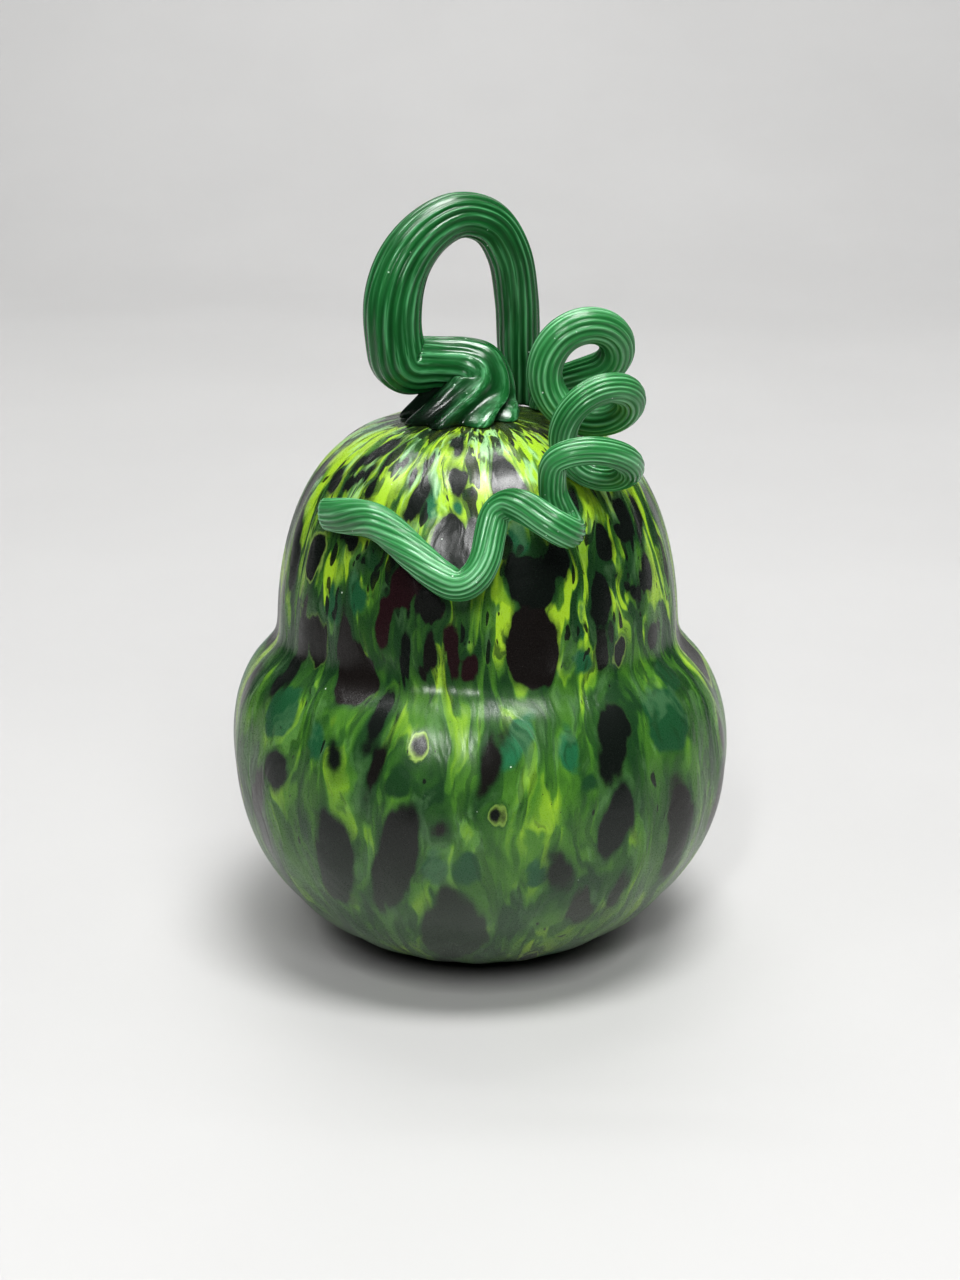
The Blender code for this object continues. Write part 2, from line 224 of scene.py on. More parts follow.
# Dark chips that the photograph shows: the pixel of the top end and of the bottom end, the width in
# mm, how much the top is narrower than the bottom, how wine red it is and how bright its rim is
CHIPS = (
    (328, 460, 296, 511, 5.0, 0.0, 0.0, 0.2),
    (342, 467, 329, 494, 5.2, 0.1, 0.0, 0.3),
    (398, 441, 356, 468, 3.0, 0.0, 0.0, 0.2),
    (368, 469, 336, 497, 4.2, 0.1, 0.0, 0.3),
    (373, 477, 369, 504, 4.0, 0.0, 0.0, 0.3),
    (411, 457, 391, 472, 2.7, 0.0, 0.0, 0.3),
    (393, 451, 382, 467, 0.9, 0.0, 0.0, 0.0),
    (429, 458, 402, 489, 3.1, 0.0, 0.0, 0.3),
    (426, 485, 404, 519, 3.8, 0.1, 0.0, 0.4),
    (457, 436, 459, 461, 4.7, 0.0, 0.0, 0.2),
    (452, 462, 464, 495, 5.4, 0.0, 0.0, 0.2),
    (445, 520, 458, 570, 10.6, 0.1, 0.0, 0.2),
    (475, 514, 474, 547, 3.0, 0.1, 0.0, 0.0),
    (323, 529, 309, 575, 6.8, 0.0, 0.0, 0.7),
    (303, 514, 291, 600, 5.6, 0.0, 0.0, 0.3),
    (346, 534, 359, 552, 5.0, 0.0, 0.0, 0.2),
    (410, 571, 384, 617, 7.2, -0.2, 1.0, 0.1),
    (383, 611, 381, 655, 3.2, 0.0, 1.0, 0.1),
    (427, 593, 433, 619, 5.7, 0.0, 0.1, 0.1),
    (450, 624, 457, 691, 5.6, 0.0, 0.9, 0.1),
    (471, 647, 466, 692, 6.2, -0.1, 0.9, 0.0),
    (431, 643, 421, 685, 4.4, 0.1, 0.2, 0.1),
    (411, 622, 406, 661, 1.8, 0.0, 0.0, 0.0),
    (344, 619, 351, 711, 11.5, 0.7, 0.3, 0.2),
    (316, 607, 315, 663, 6.4, 0.0, 0.2, 0.5),
    (305, 599, 300, 661, 6.8, 0.1, 0.2, 0.4),
    (301, 652, 264, 703, 6.0, 0.0, 0.0, 0.3),
    (259, 667, 239, 706, 6.0, 0.0, 0.0, 0.2),
    (500, 460, 517, 509, 7.8, 0.2, 0.0, 0.2),
    (553, 550, 567, 577, 6.6, 0.0, 0.0, 0.2),
    (514, 556, 546, 604, 11.0, 0.1, 0.0, 0.2),
    (531, 608, 535, 687, 13.2, 0.2, 0.3, 0.1),
    (597, 521, 612, 564, 9.2, 0.1, 0.0, 0.3),
    (618, 497, 629, 543, 5.4, 0.0, 0.0, 0.3),
    (634, 499, 643, 543, 4.8, 0.0, 0.0, 0.3),
    (611, 520, 628, 543, 4.8, 0.0, 0.0, 0.2),
    (644, 555, 649, 588, 7.0, 0.1, 0.0, 0.2),
    (614, 572, 638, 597, 4.8, 0.0, 0.0, 0.1),
    (601, 571, 603, 624, 5.0, 0.0, 0.0, 0.1),
    (603, 630, 601, 668, 4.3, 0.0, 0.1, 0.4),
    (626, 630, 617, 663, 5.2, 0.1, 0.0, 0.6),
    (655, 620, 654, 653, 6.8, 0.0, 0.1, 0.3),
    (641, 481, 655, 511, 5.0, 0.0, 0.0, 0.2),
    (571, 490, 578, 520, 2.4, 0.0, 0.0, 0.2),
    (334, 724, 337, 782, 5.4, 0.6, 0.0, 0.2),
    (388, 696, 366, 758, 5.4, 0.1, 0.0, 0.2),
    (382, 749, 363, 804, 3.3, 0.4, 0.2, 0.2),
    (425, 735, 416, 766, 4.3, 0.0, 0.0, 1.0),
    (433, 765, 430, 785, 2.8, 0.0, 0.0, 0.3),
    (498, 742, 477, 808, 6.3, -0.1, 0.2, 0.3),
    (269, 757, 284, 782, 10.0, 0.0, 0.0, 0.0),
    (260, 774, 256, 820, 7.0, 0.0, 0.4, 0.1),
    (262, 818, 268, 852, 7.0, 0.0, 0.0, 0.1),
    (338, 817, 339, 898, 12.4, -0.2, 0.0, 0.3),
    (411, 801, 385, 905, 10.2, 0.1, 0.1, 0.3),
    (440, 817, 440, 846, 5.6, 0.0, 0.2, 0.0),
    (451, 889, 455, 958, 16.4, -0.1, 0.1, 0.4),
    (495, 803, 494, 825, 5.2, 0.0, 0.0, 0.7),
    (614, 698, 608, 779, 9.6, -0.1, 0.0, 0.4),
    (626, 791, 606, 857, 8.8, 0.2, 0.0, 0.3),
    (556, 842, 560, 897, 7.6, 0.0, 0.1, 0.1),
    (577, 892, 584, 921, 7.6, 0.0, 0.4, 0.0),
    (620, 880, 602, 918, 4.8, 0.1, 0.2, 0.2),
    (678, 774, 671, 867, 11.0, 0.2, 0.2, 0.4),
)
# Pieces of green glass in the photograph: the two end pixels and the width in mm, and how teal it is
PATCHES = (
    (297, 688, 270, 737, 13.0, 0.4),
    (317, 725, 313, 758, 5.6, 0.5),
    (405, 764, 392, 797, 6.0, 0.0),
    (433, 853, 434, 884, 5.6, 0.3),
    (467, 855, 468, 886, 6.6, 0.3),
    (530, 715, 506, 762, 6.0, 1.0),
    (565, 731, 572, 768, 5.0, 0.8),
    (590, 771, 591, 793, 5.0, 0.1),
    (654, 683, 674, 752, 15.0, 0.3),
    (537, 864, 538, 888, 5.6, 0.4),
    (356, 577, 358, 616, 6.2, 0.5),
    (333, 588, 334, 624, 6.0, 0.5),
    (583, 650, 586, 673, 5.0, 0.6),
    (581, 605, 582, 638, 2.8, 0.8),
    (660, 656, 676, 691, 8.6, 0.2),
    (434, 471, 428, 516, 3.4, 1.0),
    (455, 500, 459, 515, 3.4, 1.0),
    (513, 517, 520, 558, 5.2, 0.8),
    (373, 548, 371, 572, 4.6, 0.1),
)
# Pools of lime glass in the photograph: the two end pixels and the width in mm
POOLS = (
    (575, 572, 568, 616, 7.0),
    (612, 586, 622, 612, 6.0),
    (627, 545, 640, 566, 5.0),
    (500, 588, 490, 655, 5.0),
    (512, 702, 501, 746, 5.2),
    (545, 771, 505, 790, 5.0),
    (505, 826, 520, 866, 6.0),
    (548, 788, 562, 812, 6.0),
    (352, 630, 372, 652, 6.0),
    (350, 545, 332, 600, 6.0),
    (470, 440, 482, 500, 5.0),
    (440, 445, 436, 470, 3.5),
    (512, 435, 530, 460, 6.0),
    (395, 470, 385, 500, 4.0),
    (446, 690, 455, 735, 6.0),
    (588, 640, 580, 660, 4.0),
)

# How much the top of a patch or a pool is narrower than its bottom
PIECE_TAPER = 0.2

# A mark's roundness, where 2 is an ellipse
MARK_POWER = 2.0
# The streaks run round a cylinder of this radius
FLOW_RADIUS = 60.0
# A chip pushes the streaks aside by this share of their distance from its middle, and less past this
# many half widths. A patch pushes them less.
FLOW_PUSH = 0.7
FLOW_PUSH_REACH = 1.5
PATCH_PUSH = 0.5
# Least radius that is divided by
LEAST_RADIUS = 5.0
# Distance of a point that no mark is near, and the furthest that counts from a patch or a pool
FAR_OFF = 1000.0
PATCH_REACH = 20.0
POOL_REACH = 3.0

# Marks that are scattered where the photograph doesn't reach. They keep clear of each other, and
# along the outline they keep clear of the foot's edge and of the mouth.
SCATTER_SEED = 11
SCATTER_TRIES = 5000
SEEN_HALF_ANGLE = math.radians(72.0)
SEEN_HEIGHT = 14.0
SCATTER_FOOT = 12.0
SCATTER_MOUTH = 14.0
SCATTER_STRETCH = (1.4, 3.0)
SCATTER_LEAN = 0.16
SCATTER_TAPER = (-0.1, 0.5)
MARK_SPACING = 0.6
# How many marks of a kind, the least and most half width in mm, and the least and most tint
SCATTERED_CHIPS = (90, (2.0, 5.6), (0.0, 0.8))
SCATTERED_PATCHES = (50, (2.4, 6.0), (0.0, 1.0))
SCATTERED_POOLS = (40, (2.0, 4.0), (0.0, 1.0))

# Relief of the glass, in metres
BUMP_DISTANCE = 0.0006
BUMP_STRENGTH = 0.5

# Paper backdrop, in metres, with how near and how dark it is where the body closes it in
APRON_END = -2.2
PAPER_END = -0.25
WALL_START = 1.4
WALL_BEND = 1.2
WALL_HEIGHT = 2.8
WALL_STEPS = 24
PAPER_HALF_WIDTH = 2.2
CONTACT_REACH = 0.009
CONTACT_SHADE = (0.03, 0.03, 0.03)

# Soft lights, in metres: the place, the spot that it faces, and its width and height
WINDOW_LIGHT = ((0.5, -2.35, 2.0), (0.0, 0.0, 0.08), 1.6, 1.2)
CEILING_LIGHT = ((0.28, -0.45, 2.1), (0.28, -0.4, 0.0), 1.05, 0.55)
SIDE_LIGHT = ((-1.0, 0.1, 2.1), (0.0, 0.0, 0.1), 0.6, 0.6)
BACK_LIGHT = ((-0.3, 0.75, 1.9), (0.0, 0.0, 0.2), 1.3, 0.5)
STRIP_LIGHT = ((-0.29, -1.42, 1.05), (0.0, 0.0, 0.1), 0.14, 0.45)
WALL_LIGHT = ((0.0, 0.9, 2.3), (0.0, 2.6, 0.7), 2.0, 0.6)
# Glow of the room: at the level of the camera, from above, and where the camera looks past the paper
ROOM_DIM = (0.03, 0.03, 0.031)
ROOM_PALE = (0.25, 0.25, 0.255)
ROOM_BEHIND = (0.70, 0.70, 0.69)


def smooth_step(low, high, value):
    share = np.clip((value - low) / (high - low), 0.0, 1.0)
    return share * share * (3.0 - 2.0 * share)


def smooth_curve(stations):
    """Centripetal Catmull-Rom curve through stations that start with x, y and z."""
    stations = np.array(stations, float)
    ghosts = 2.0 * stations[[0, -1]] - stations[[1, -2]]
    points = np.vstack((ghosts[:1], stations, ghosts[1:]))
    knots = np.sqrt(np.linalg.norm(np.diff(points[:, :3], axis=0), axis=1))
    curve = []
    for index in range(len(points) - 3):
        before, start, end, after = points[index:index + 4]
        k1, k2, k3 = np.cumsum(knots[index:index + 3])
        for step in range(CURVE_STEPS):
            k = k1 + (k2 - k1) * step / CURVE_STEPS
            a1 = before + (start - before) * k / k1
            a2 = start + (end - start) * (k - k1) / (k2 - k1)
            a3 = end + (after - end) * (k - k2) / (k3 - k2)
            b1 = a1 + (a2 - a1) * k / k2
            b2 = a2 + (a3 - a2) * (k - k1) / (k3 - k1)
            curve.append(b1 + (b2 - b1) * (k - k1) / (k2 - k1))
    curve.append(stations[-1])
    return np.array(curve)


def evenly_spaced(curve, count):
    """The curve at count places that are equally far apart along it."""
    reached = run_along(curve)
    wanted = np.linspace(0.0, reached[-1], count)
    return np.column_stack([np.interp(wanted, reached, column) for column in curve.T])


def run_along(curve):
    """The length of the curve up to each of its points."""
    steps = np.linalg.norm(np.diff(curve[:, :3], axis=0), axis=1)
    return np.concatenate(([0.0], np.cumsum(steps)))


def squared_arc(wide, wide_height, end_radius, end_height, squareness):
    """Outline from a lobe's widest height to where it ends, as radius and height."""
    rise = end_height - wide_height
    reach = rise / math.sqrt(1.0 - (end_radius / wide) ** squareness)
    angle = np.linspace(0.0, math.asin(rise / reach), ARC_STEPS + 1)
    radius = wide * np.cos(angle) ** (2.0 / squareness)
    return np.column_stack((radius, wide_height + reach * np.sin(angle)))


class Outline:
    """The outside of the blown body as a turned shape, with its neck melted round."""

    def __init__(self):
        base = squared_arc(BELLY_RADIUS, BELLY_HEIGHT, FOOT_RADIUS, 0.0, BASE_SQUARENESS)
        shoulder = squared_arc(
            BELLY_RADIUS, BELLY_HEIGHT, NECK_RADIUS, NECK_HEIGHT, SHOULDER_SQUARENESS
        )
        crown = squared_arc(NECK_RADIUS, NECK_HEIGHT, MOUTH_RADIUS, CROWN_HEIGHT, CROWN_SQUARENESS)
        lower = np.vstack((base[::-1], shoulder[1:]))
        curve = np.vstack((lower, crown[1:]))
        neck_run = run_along(lower)[-1]
        count = int(run_along(curve)[-1] / OUTLINE_STEP)
        line = evenly_spaced(curve, count)
        self.line = self.neck_softened(line, neck_run)
        self.run = run_along(self.line)

    @staticmethod
    def neck_softened(line, neck_run):
        reach = np.arange(-3.0 * NECK_BLUR, 3.0 * NECK_BLUR, OUTLINE_STEP)
        weights = np.exp(-0.5 * (reach / NECK_BLUR) ** 2)
        weights /= weights.sum()
        blurred = np.column_stack([np.convolve(column, weights, "same") for column in line.T])
        away = np.abs(run_along(line) - neck_run)
        share = 1.0 - smooth_step(NECK_CORE, NECK_REACH, away)
        return line + (blurred - line) * share[:, None]

    def radius_at(self, height):
        return np.interp(height, self.line[:, 1], self.line[:, 0])

    def run_at(self, height):
        return np.interp(height, self.line[:, 1], self.run)

    def crown_height(self, spots, ribs, rib_height):
        """Height of the body's top under each spot."""
        radius = np.hypot(spots[..., 0], spots[..., 1])
        azimuth = np.arctan2(spots[..., 1], spots[..., 0])
        radius = radius + groove(radius, azimuth, ribs, rib_height)
        falling = self.line[self.line[:, 1] > SWAY_TOP][::-1]
        return np.interp(radius, falling[:, 0], falling[:, 1])


def groove(radius, azimuth, ribs, rib_height):
    """How far the outside of the body dips between its ribs."""
    depth = rib_height * smooth_step(RIB_NONE, RIB_FULL, radius)
    return depth * 0.5 * (1.0 - np.cos(ribs * azimuth))


def sway(height):
    """The shift of the lower lobe's axis to +X."""
    return np.where(height < SWAY_TOP, SWAY * np.sin(math.pi * height / SWAY_TOP) ** 2, 0.0)


def carried_frames(centres, upright):
    """Tangents, set upright by a share, with a pair of cross directions carried along them."""
    tangents = np.gradient(centres, axis=0)
    tangents /= np.linalg.norm(tangents, axis=1)[:, None]
    tangents += (np.array((0.0, 0.0, 1.0)) - tangents) * upright[:, None]
    tangents /= np.linalg.norm(tangents, axis=1)[:, None]
    across = np.array(Vector(tangents[0]).orthogonal().normalized())
    frames = []
    for tangent in tangents:
        across = across - tangent * across.dot(tangent)
        across /= np.linalg.norm(across)
        frames.append((tangent, across, np.cross(tangent, across)))
    return np.array(frames)


def held_back(offsets, centres, tangents, rooted):
    """Shortens offsets on the inside of a bend so that neighbouring sections past the root stay apart."""
    for step in (-1, 1):
        side = np.roll(tangents, -step, axis=0) * step
        gap = np.roll(centres, -step, axis=0) - centres
        room = np.einsum("ij,ij->i", gap, side) * BEND_ROOM
        reach = np.einsum("ijk,ik->ij", offsets, side)
        inner = slice(1, None) if step < 0 else slice(None, -1)
        excess = (reach[inner] > room[inner, None]) & ~rooted[inner, None]
        shrink = np.where(excess, room[inner, None] / np.maximum(reach[inner], LEAST_REACH), 1.0)
        offsets[inner] *= shrink[:, :, None]
    return offsets


def fluted(phase, flutes):
    """How deep an uneven row of grooves is at each point round a cane, from 0 to 1."""
    uneven = flutes * phase + 0.5 * np.sin(2.0 * phase + 0.7) + 0.35 * np.sin(5.0 * phase + 2.1)
    depth = 0.75 + 0.25 * np.sin(3.0 * phase + 1.3)
    return depth * (0.5 - 0.5 * np.cos(uneven)) ** GROOVE_SHARPNESS


def evened(points):
    """The rings of a cane evened along its run, apart from its ends."""
    place = np.arange(len(points))
    share = smooth_step(0.0, EVEN_ENDS, np.minimum(place, len(points) - 1 - place))[1:-1, None, None]
    for _ in range(EVEN_ROUNDS):
        change = (points[:-2] + points[2:]) / 2.0 - points[1:-1]
        points[1:-1] += change * share / 2.0
    return points


class Cane:
    """A fluted glass cane as rings of points, with what its finish needs to know of each point."""

    def __init__(self, places, sides, flutes, root_flutes, twist, root_share):
        count = len(places)
        share = np.linspace(0.0, 1.0, count)
        phase = 2.0 * math.pi * np.arange(sides) / sides
        self.centres = places[:, :3]
        thin = smooth_step(0.6 * root_share, 1.7 * root_share, share)[:, None]
        self.groove = fluted(phase, flutes) * thin + fluted(phase, root_flutes) * (1.0 - thin)
        frames = carried_frames(self.centres, 1.0 - smooth_step(0.4 * root_share, root_share, share))
        angle = phase[None, :] + twist[:, None]
        reach = places[:, 3, None] - places[:, 4, None] * self.groove
        offsets = (
            frames[:, None, 1] * (np.cos(angle) * reach)[:, :, None]
            + frames[:, None, 2] * (np.sin(angle) * reach)[:, :, None]
        )
        self.tangents = frames[:, 0]
        self.rooted = share < root_share
        self.offsets = offsets
        self.run = run_along(self.centres)
        self.phase = phase
        self.half_thickness = places[:, 3]

    def press(self, keep):
        """Flattens each section along the direction that points away from the body's axis."""
        outward = self.centres * (1.0, 1.0, 0.0)
        outward -= self.tangents * np.einsum("ij,ij->i", outward, self.tangents)[:, None]
        outward /= np.linalg.norm(outward, axis=1)[:, None]
        along = np.einsum("ijk,ik->ij", self.offsets, outward)
        self.offsets -= outward[:, None] * (along * (1.0 - keep[:, None]))[:, :, None]

    def round_tip(self):
        """Draws the last sections in so that the cut end has a soft edge."""
        left = self.run[-1] - self.run
        share = np.clip(1.0 - left / TIP_LENGTH, 0.0, 1.0)
        keep = 1.0 - (1.0 - np.sqrt(1.0 - share ** 2 * TIP_ROUNDING)) * TIP_LENGTH / self.half_thickness
        self.offsets *= keep[:, None, None]

    def points(self):
        offsets = held_back(self.offsets, self.centres, self.tangents, self.rooted)
        return evened(self.centres[:, None] + offsets)


def height_above(spots, outline, body):
    """How far spots lie above the gap that a cane keeps to the crown."""
    return spots[..., 2] - GAP - outline.crown_height(spots, body.ribs, body.rib_height / MM)


def set_on_crown(points, centres, sections, outline, body):
    """Slides what a cane has below the crown along its own flutes, up to the crown."""
    near = points[:sections]
    for side in range(points.shape[1]):
        line = near[:, side]
        above = height_above(line, outline, body)
        under = np.nonzero(above < 0.0)[0]
        if len(under):
            last = under[-1]
            share = -above[last] / (above[last + 1] - above[last])
            line[:last + 1] = line[last] + (line[last + 1] - line[last]) * share
    above = np.clip(height_above(near, outline, body) / TOE_HEIGHT, 0.0, 1.0)
    inset = TOE_INSET * (1.0 - np.sqrt(1.0 - (1.0 - above) ** 2))
    inward = (centres[:sections, None] - near) * (1.0, 1.0, 0.0)
    inward /= np.linalg.norm(inward, axis=2)[:, :, None]
    near += inward * inset[:, :, None]


def ring_faces(rings, sides):
    """Quads between each ring of points and the next."""
    start = np.arange(rings - 1)[:, None] * sides
    side = np.arange(sides)[None, :]
    following = (side + 1) % sides
    quads = (start + side, start + following, start + sides + following, start + sides + side)
    return np.stack(quads, axis=2).reshape(-1, 4).tolist()


def fan(centre, first, sides, flipped):
    """Triangles from a ring of points to one centre point."""
    faces = []
    for side in range(sides):
        pair = (first + side, first + (side + 1) % sides)
        faces.append((centre, *(pair[::-1] if flipped else pair)))
    return faces


def closed_faces(rings, sides):
    """Faces between rings of points, and from the first and the last ring to a centre point each."""
    last = rings * sides
    faces = ring_faces(rings, sides)
    faces += fan(last, 0, sides, True)
    faces += fan(last + 1, last - sides, sides, False)
    return faces


def linked(name, data):
    """An object in the scene that holds this mesh, light or camera."""
    made = bpy.data.objects.new(name, data)
    bpy.context.collection.objects.link(made)
    return made


def add_attribute(mesh, name, values):
    """Stores a number or a vector for each point of a mesh."""
    kind, field = ("FLOAT_VECTOR", "vector") if values.ndim > 1 else ("FLOAT", "value")
    made = mesh.attributes.new(name, kind, "POINT")
    made.data.foreach_set(field, values.astype(np.float32).ravel())


def finished_piece(name, points, faces, attributes, merge=False):
    """A smooth mesh object from points in mm."""
    mesh = bpy.data.meshes.new(name)
    mesh.from_pydata((points * MM).tolist(), [], faces)
    for label, values in attributes.items():
        add_attribute(mesh, label, values)
    if merge:
        work = bmesh.new()
        work.from_mesh(mesh)
        bmesh.ops.remove_doubles(work, verts=work.verts, dist=MERGE_DISTANCE)
        bmesh.ops.recalc_face_normals(work, faces=work.faces)
        work.to_mesh(mesh)
        work.free()
    mesh.shade_smooth()
    return linked(name, mesh)


def hand_over(piece, node, material):
    """Puts a finished piece in its CAD node's place."""
    piece.data.materials.append(material)
    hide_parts(node)
    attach(piece, ROOT)


def cane_mesh(name, cane, points, smoke):
    """The closed mesh of a cane, with its flutes, grain, and its dark glass and painted shade as attributes.
    """
    rings, sides = points.shape[:2]
    ends = np.array((points[0].mean(axis=0), points[-1].mean(axis=0)))
    everything = np.vstack((points.reshape(-1, 3), ends))
    grain = np.empty((rings, sides, 3))
    grain[:, :, 0] = np.cos(cane.phase) * cane.half_thickness[:, None]
    grain[:, :, 1] = np.sin(cane.phase) * cane.half_thickness[:, None]
    grain[:, :, 2] = cane.run[:, None]
    ridge = 1.0 - cane.groove
    tip = np.broadcast_to((cane.run[-1] - cane.run)[:, None], (rings, sides))
    attributes = {
        "grain": np.vstack((grain.reshape(-1, 3), ((0.0, 0.0, 0.0), (0.0, 0.0, cane.run[-1])))),
        "ridge": np.append(ridge, (0.5, 0.5)),
        "smoke": np.append(smoke, (1.0, 0.0)),
        "to_tip": np.append(tip, (cane.run[-1], 0.0)),
    }
    return finished_piece(name, everything, closed_faces(rings, sides), attributes, merge=True)


def seen_direction(u, v):
    """Where the camera looks through a pixel, for a reach of 1 in front of it."""
    across = (u - FRAME_WIDTH / 2.0) / FOCAL_PIXELS
    up = (FRAME_HEIGHT / 2.0 - v) / FOCAL_PIXELS
    cos, sin = math.cos(CAMERA_PITCH), math.sin(CAMERA_PITCH)
    return np.array((across, cos + up * sin, up * cos - sin))


def seen_on_body(outline, u, v):
    """Azimuth and run of the point of the body that shows at a pixel, or just inside its edge."""
    reach = np.arange(SIGHT_START, SIGHT_END, OUTLINE_STEP)
    for inward in np.arange(0.0, INWARD_MOST, INWARD_STEP):
        seen_u = u + (MIDDLE_PIXEL[0] - u) * inward
        seen_v = v + (MIDDLE_PIXEL[1] - v) * inward
        spots = np.array(CAMERA_PLACE) + seen_direction(seen_u, seen_v) * reach[:, None]
        spots[:, 0] -= sway(spots[:, 2])
        inside = np.hypot(spots[:, 0], spots[:, 1]) < outline.radius_at(spots[:, 2])
        inside &= spots[:, 2] < outline.line[-1, 1]
        if inside.any():
            x, y, z = spots[np.argmax(inside)]
            return math.atan2(y, x), float(outline.run_at(z))
    raise RuntimeError(f"no part of the body shows near pixel {u}, {v}")


class Mark:
    """A long drop of colour on the glass: its place, lean, size and taper."""

    def __init__(self, azimuth, run, lean, half_width, half_length, taper=0.0, tint=0.0, rim=0.0):
        self.azimuth = azimuth
        self.run = run
        self.lean = lean
        self.half_width = half_width
        self.half_length = half_length
        self.taper = taper
        self.tint = tint
        self.rim = rim

    @classmethod
    def between(cls, outline, top_u, top_v, bottom_u, bottom_v, width, *rest):
        top_azimuth, top_run = seen_on_body(outline, top_u, top_v)
        low_azimuth, low_run = seen_on_body(outline, bottom_u, bottom_v)
        run = (top_run + low_run) / 2.0
        radius = np.interp(run, outline.run, outline.line[:, 0])
        around = (top_azimuth - low_azimuth) * radius
        up = top_run - low_run
        half_length = math.hypot(around, up) / 2.0
        middle = (top_azimuth + low_azimuth) / 2.0
        return cls(middle, run, math.atan2(around, up), width / 2.0, half_length, *rest)

    def measured(self, azimuth, radius, run):
        """For points of the body: how far out of the mark they are, as a share and in mm."""
        turn = azimuth - self.azimuth
        around = (turn - 2.0 * math.pi * np.round(turn / (2.0 * math.pi))) * radius
        up = run - self.run
        along = around * math.sin(self.lean) + up * math.cos(self.lean)
        across = around * math.cos(self.lean) - up * math.sin(self.lean)
        level = np.clip(along / self.half_length, -1.0, 1.0)
        half = self.half_width * (1.0 - self.taper * level)
        share = (
            np.abs(across / half) ** MARK_POWER + np.abs(along / self.half_length) ** MARK_POWER
        ) ** (1.0 / MARK_POWER)
        return share, (share - 1.0) * half, across


def scattered(outline, rng, listed, count, size, tints):
    """Marks of random place and size where none of the listed ones can be seen."""
    made = []
    for _ in range(SCATTER_TRIES):
        if len(made) == count:
            break
        azimuth = rng.uniform(-math.pi, math.pi)
        run = rng.uniform(SCATTER_FOOT, outline.run[-1] - SCATTER_MOUTH)
        radius = np.interp(run, outline.run, outline.line[:, 0])
        if rng.uniform(0.0, BELLY_RADIUS) > radius:
            continue
        height = np.interp(run, outline.run, outline.line[:, 1])
        facing = abs((azimuth + math.pi / 2.0 + math.pi) % (2.0 * math.pi) - math.pi)
        seen = facing < SEEN_HALF_ANGLE and height > SEEN_HEIGHT
        half_width = rng.uniform(*size) * (0.45 + 0.55 * radius / FLOW_RADIUS)
        half_length = half_width * rng.uniform(*SCATTER_STRETCH)
        lean = rng.normal(0.0, SCATTER_LEAN)
        taper = rng.uniform(*SCATTER_TAPER)
        near = any(crowds(outline, mark, azimuth, run, half_width, half_length) for mark in listed + made)
        if seen or near:
            continue
        tint = rng.uniform(*tints)
        rim = rng.uniform(0.0, 1.0) ** 2
        made.append(Mark(azimuth, run, lean, half_width, half_length, taper, tint, rim))
    return made


def crowds(outline, mark, azimuth, run, half_width, half_length):
    """Whether a new mark at this place would run into a mark that is there."""
    radius = np.interp(run, outline.run, outline.line[:, 0])
    turn = (azimuth - mark.azimuth + math.pi) % (2.0 * math.pi) - math.pi
    across = abs(turn * radius) / (half_width + mark.half_width + MARK_SPACING)
    along = abs(run - mark.run) / (half_length + mark.half_length)
    return math.hypot(across, along) < 1.0


def field_of(marks, azimuth, radius, run):
    """For points of the body: mm to the nearest mark's edge, its tint and rim, and the push."""
    distance = np.full(len(run), FAR_OFF)
    tint = np.zeros(len(run))
    rim = np.zeros(len(run))
    push = np.zeros(len(run))
    for mark in marks:
        share, out, across = mark.measured(azimuth, radius, run)
        nearer = out < distance
        distance[nearer] = out[nearer]
        tint[nearer] = mark.tint
        rim[nearer] = mark.rim
        push -= across * FLOW_PUSH * np.exp(-((share / FLOW_PUSH_REACH) ** 2))
    return distance, tint, rim, push


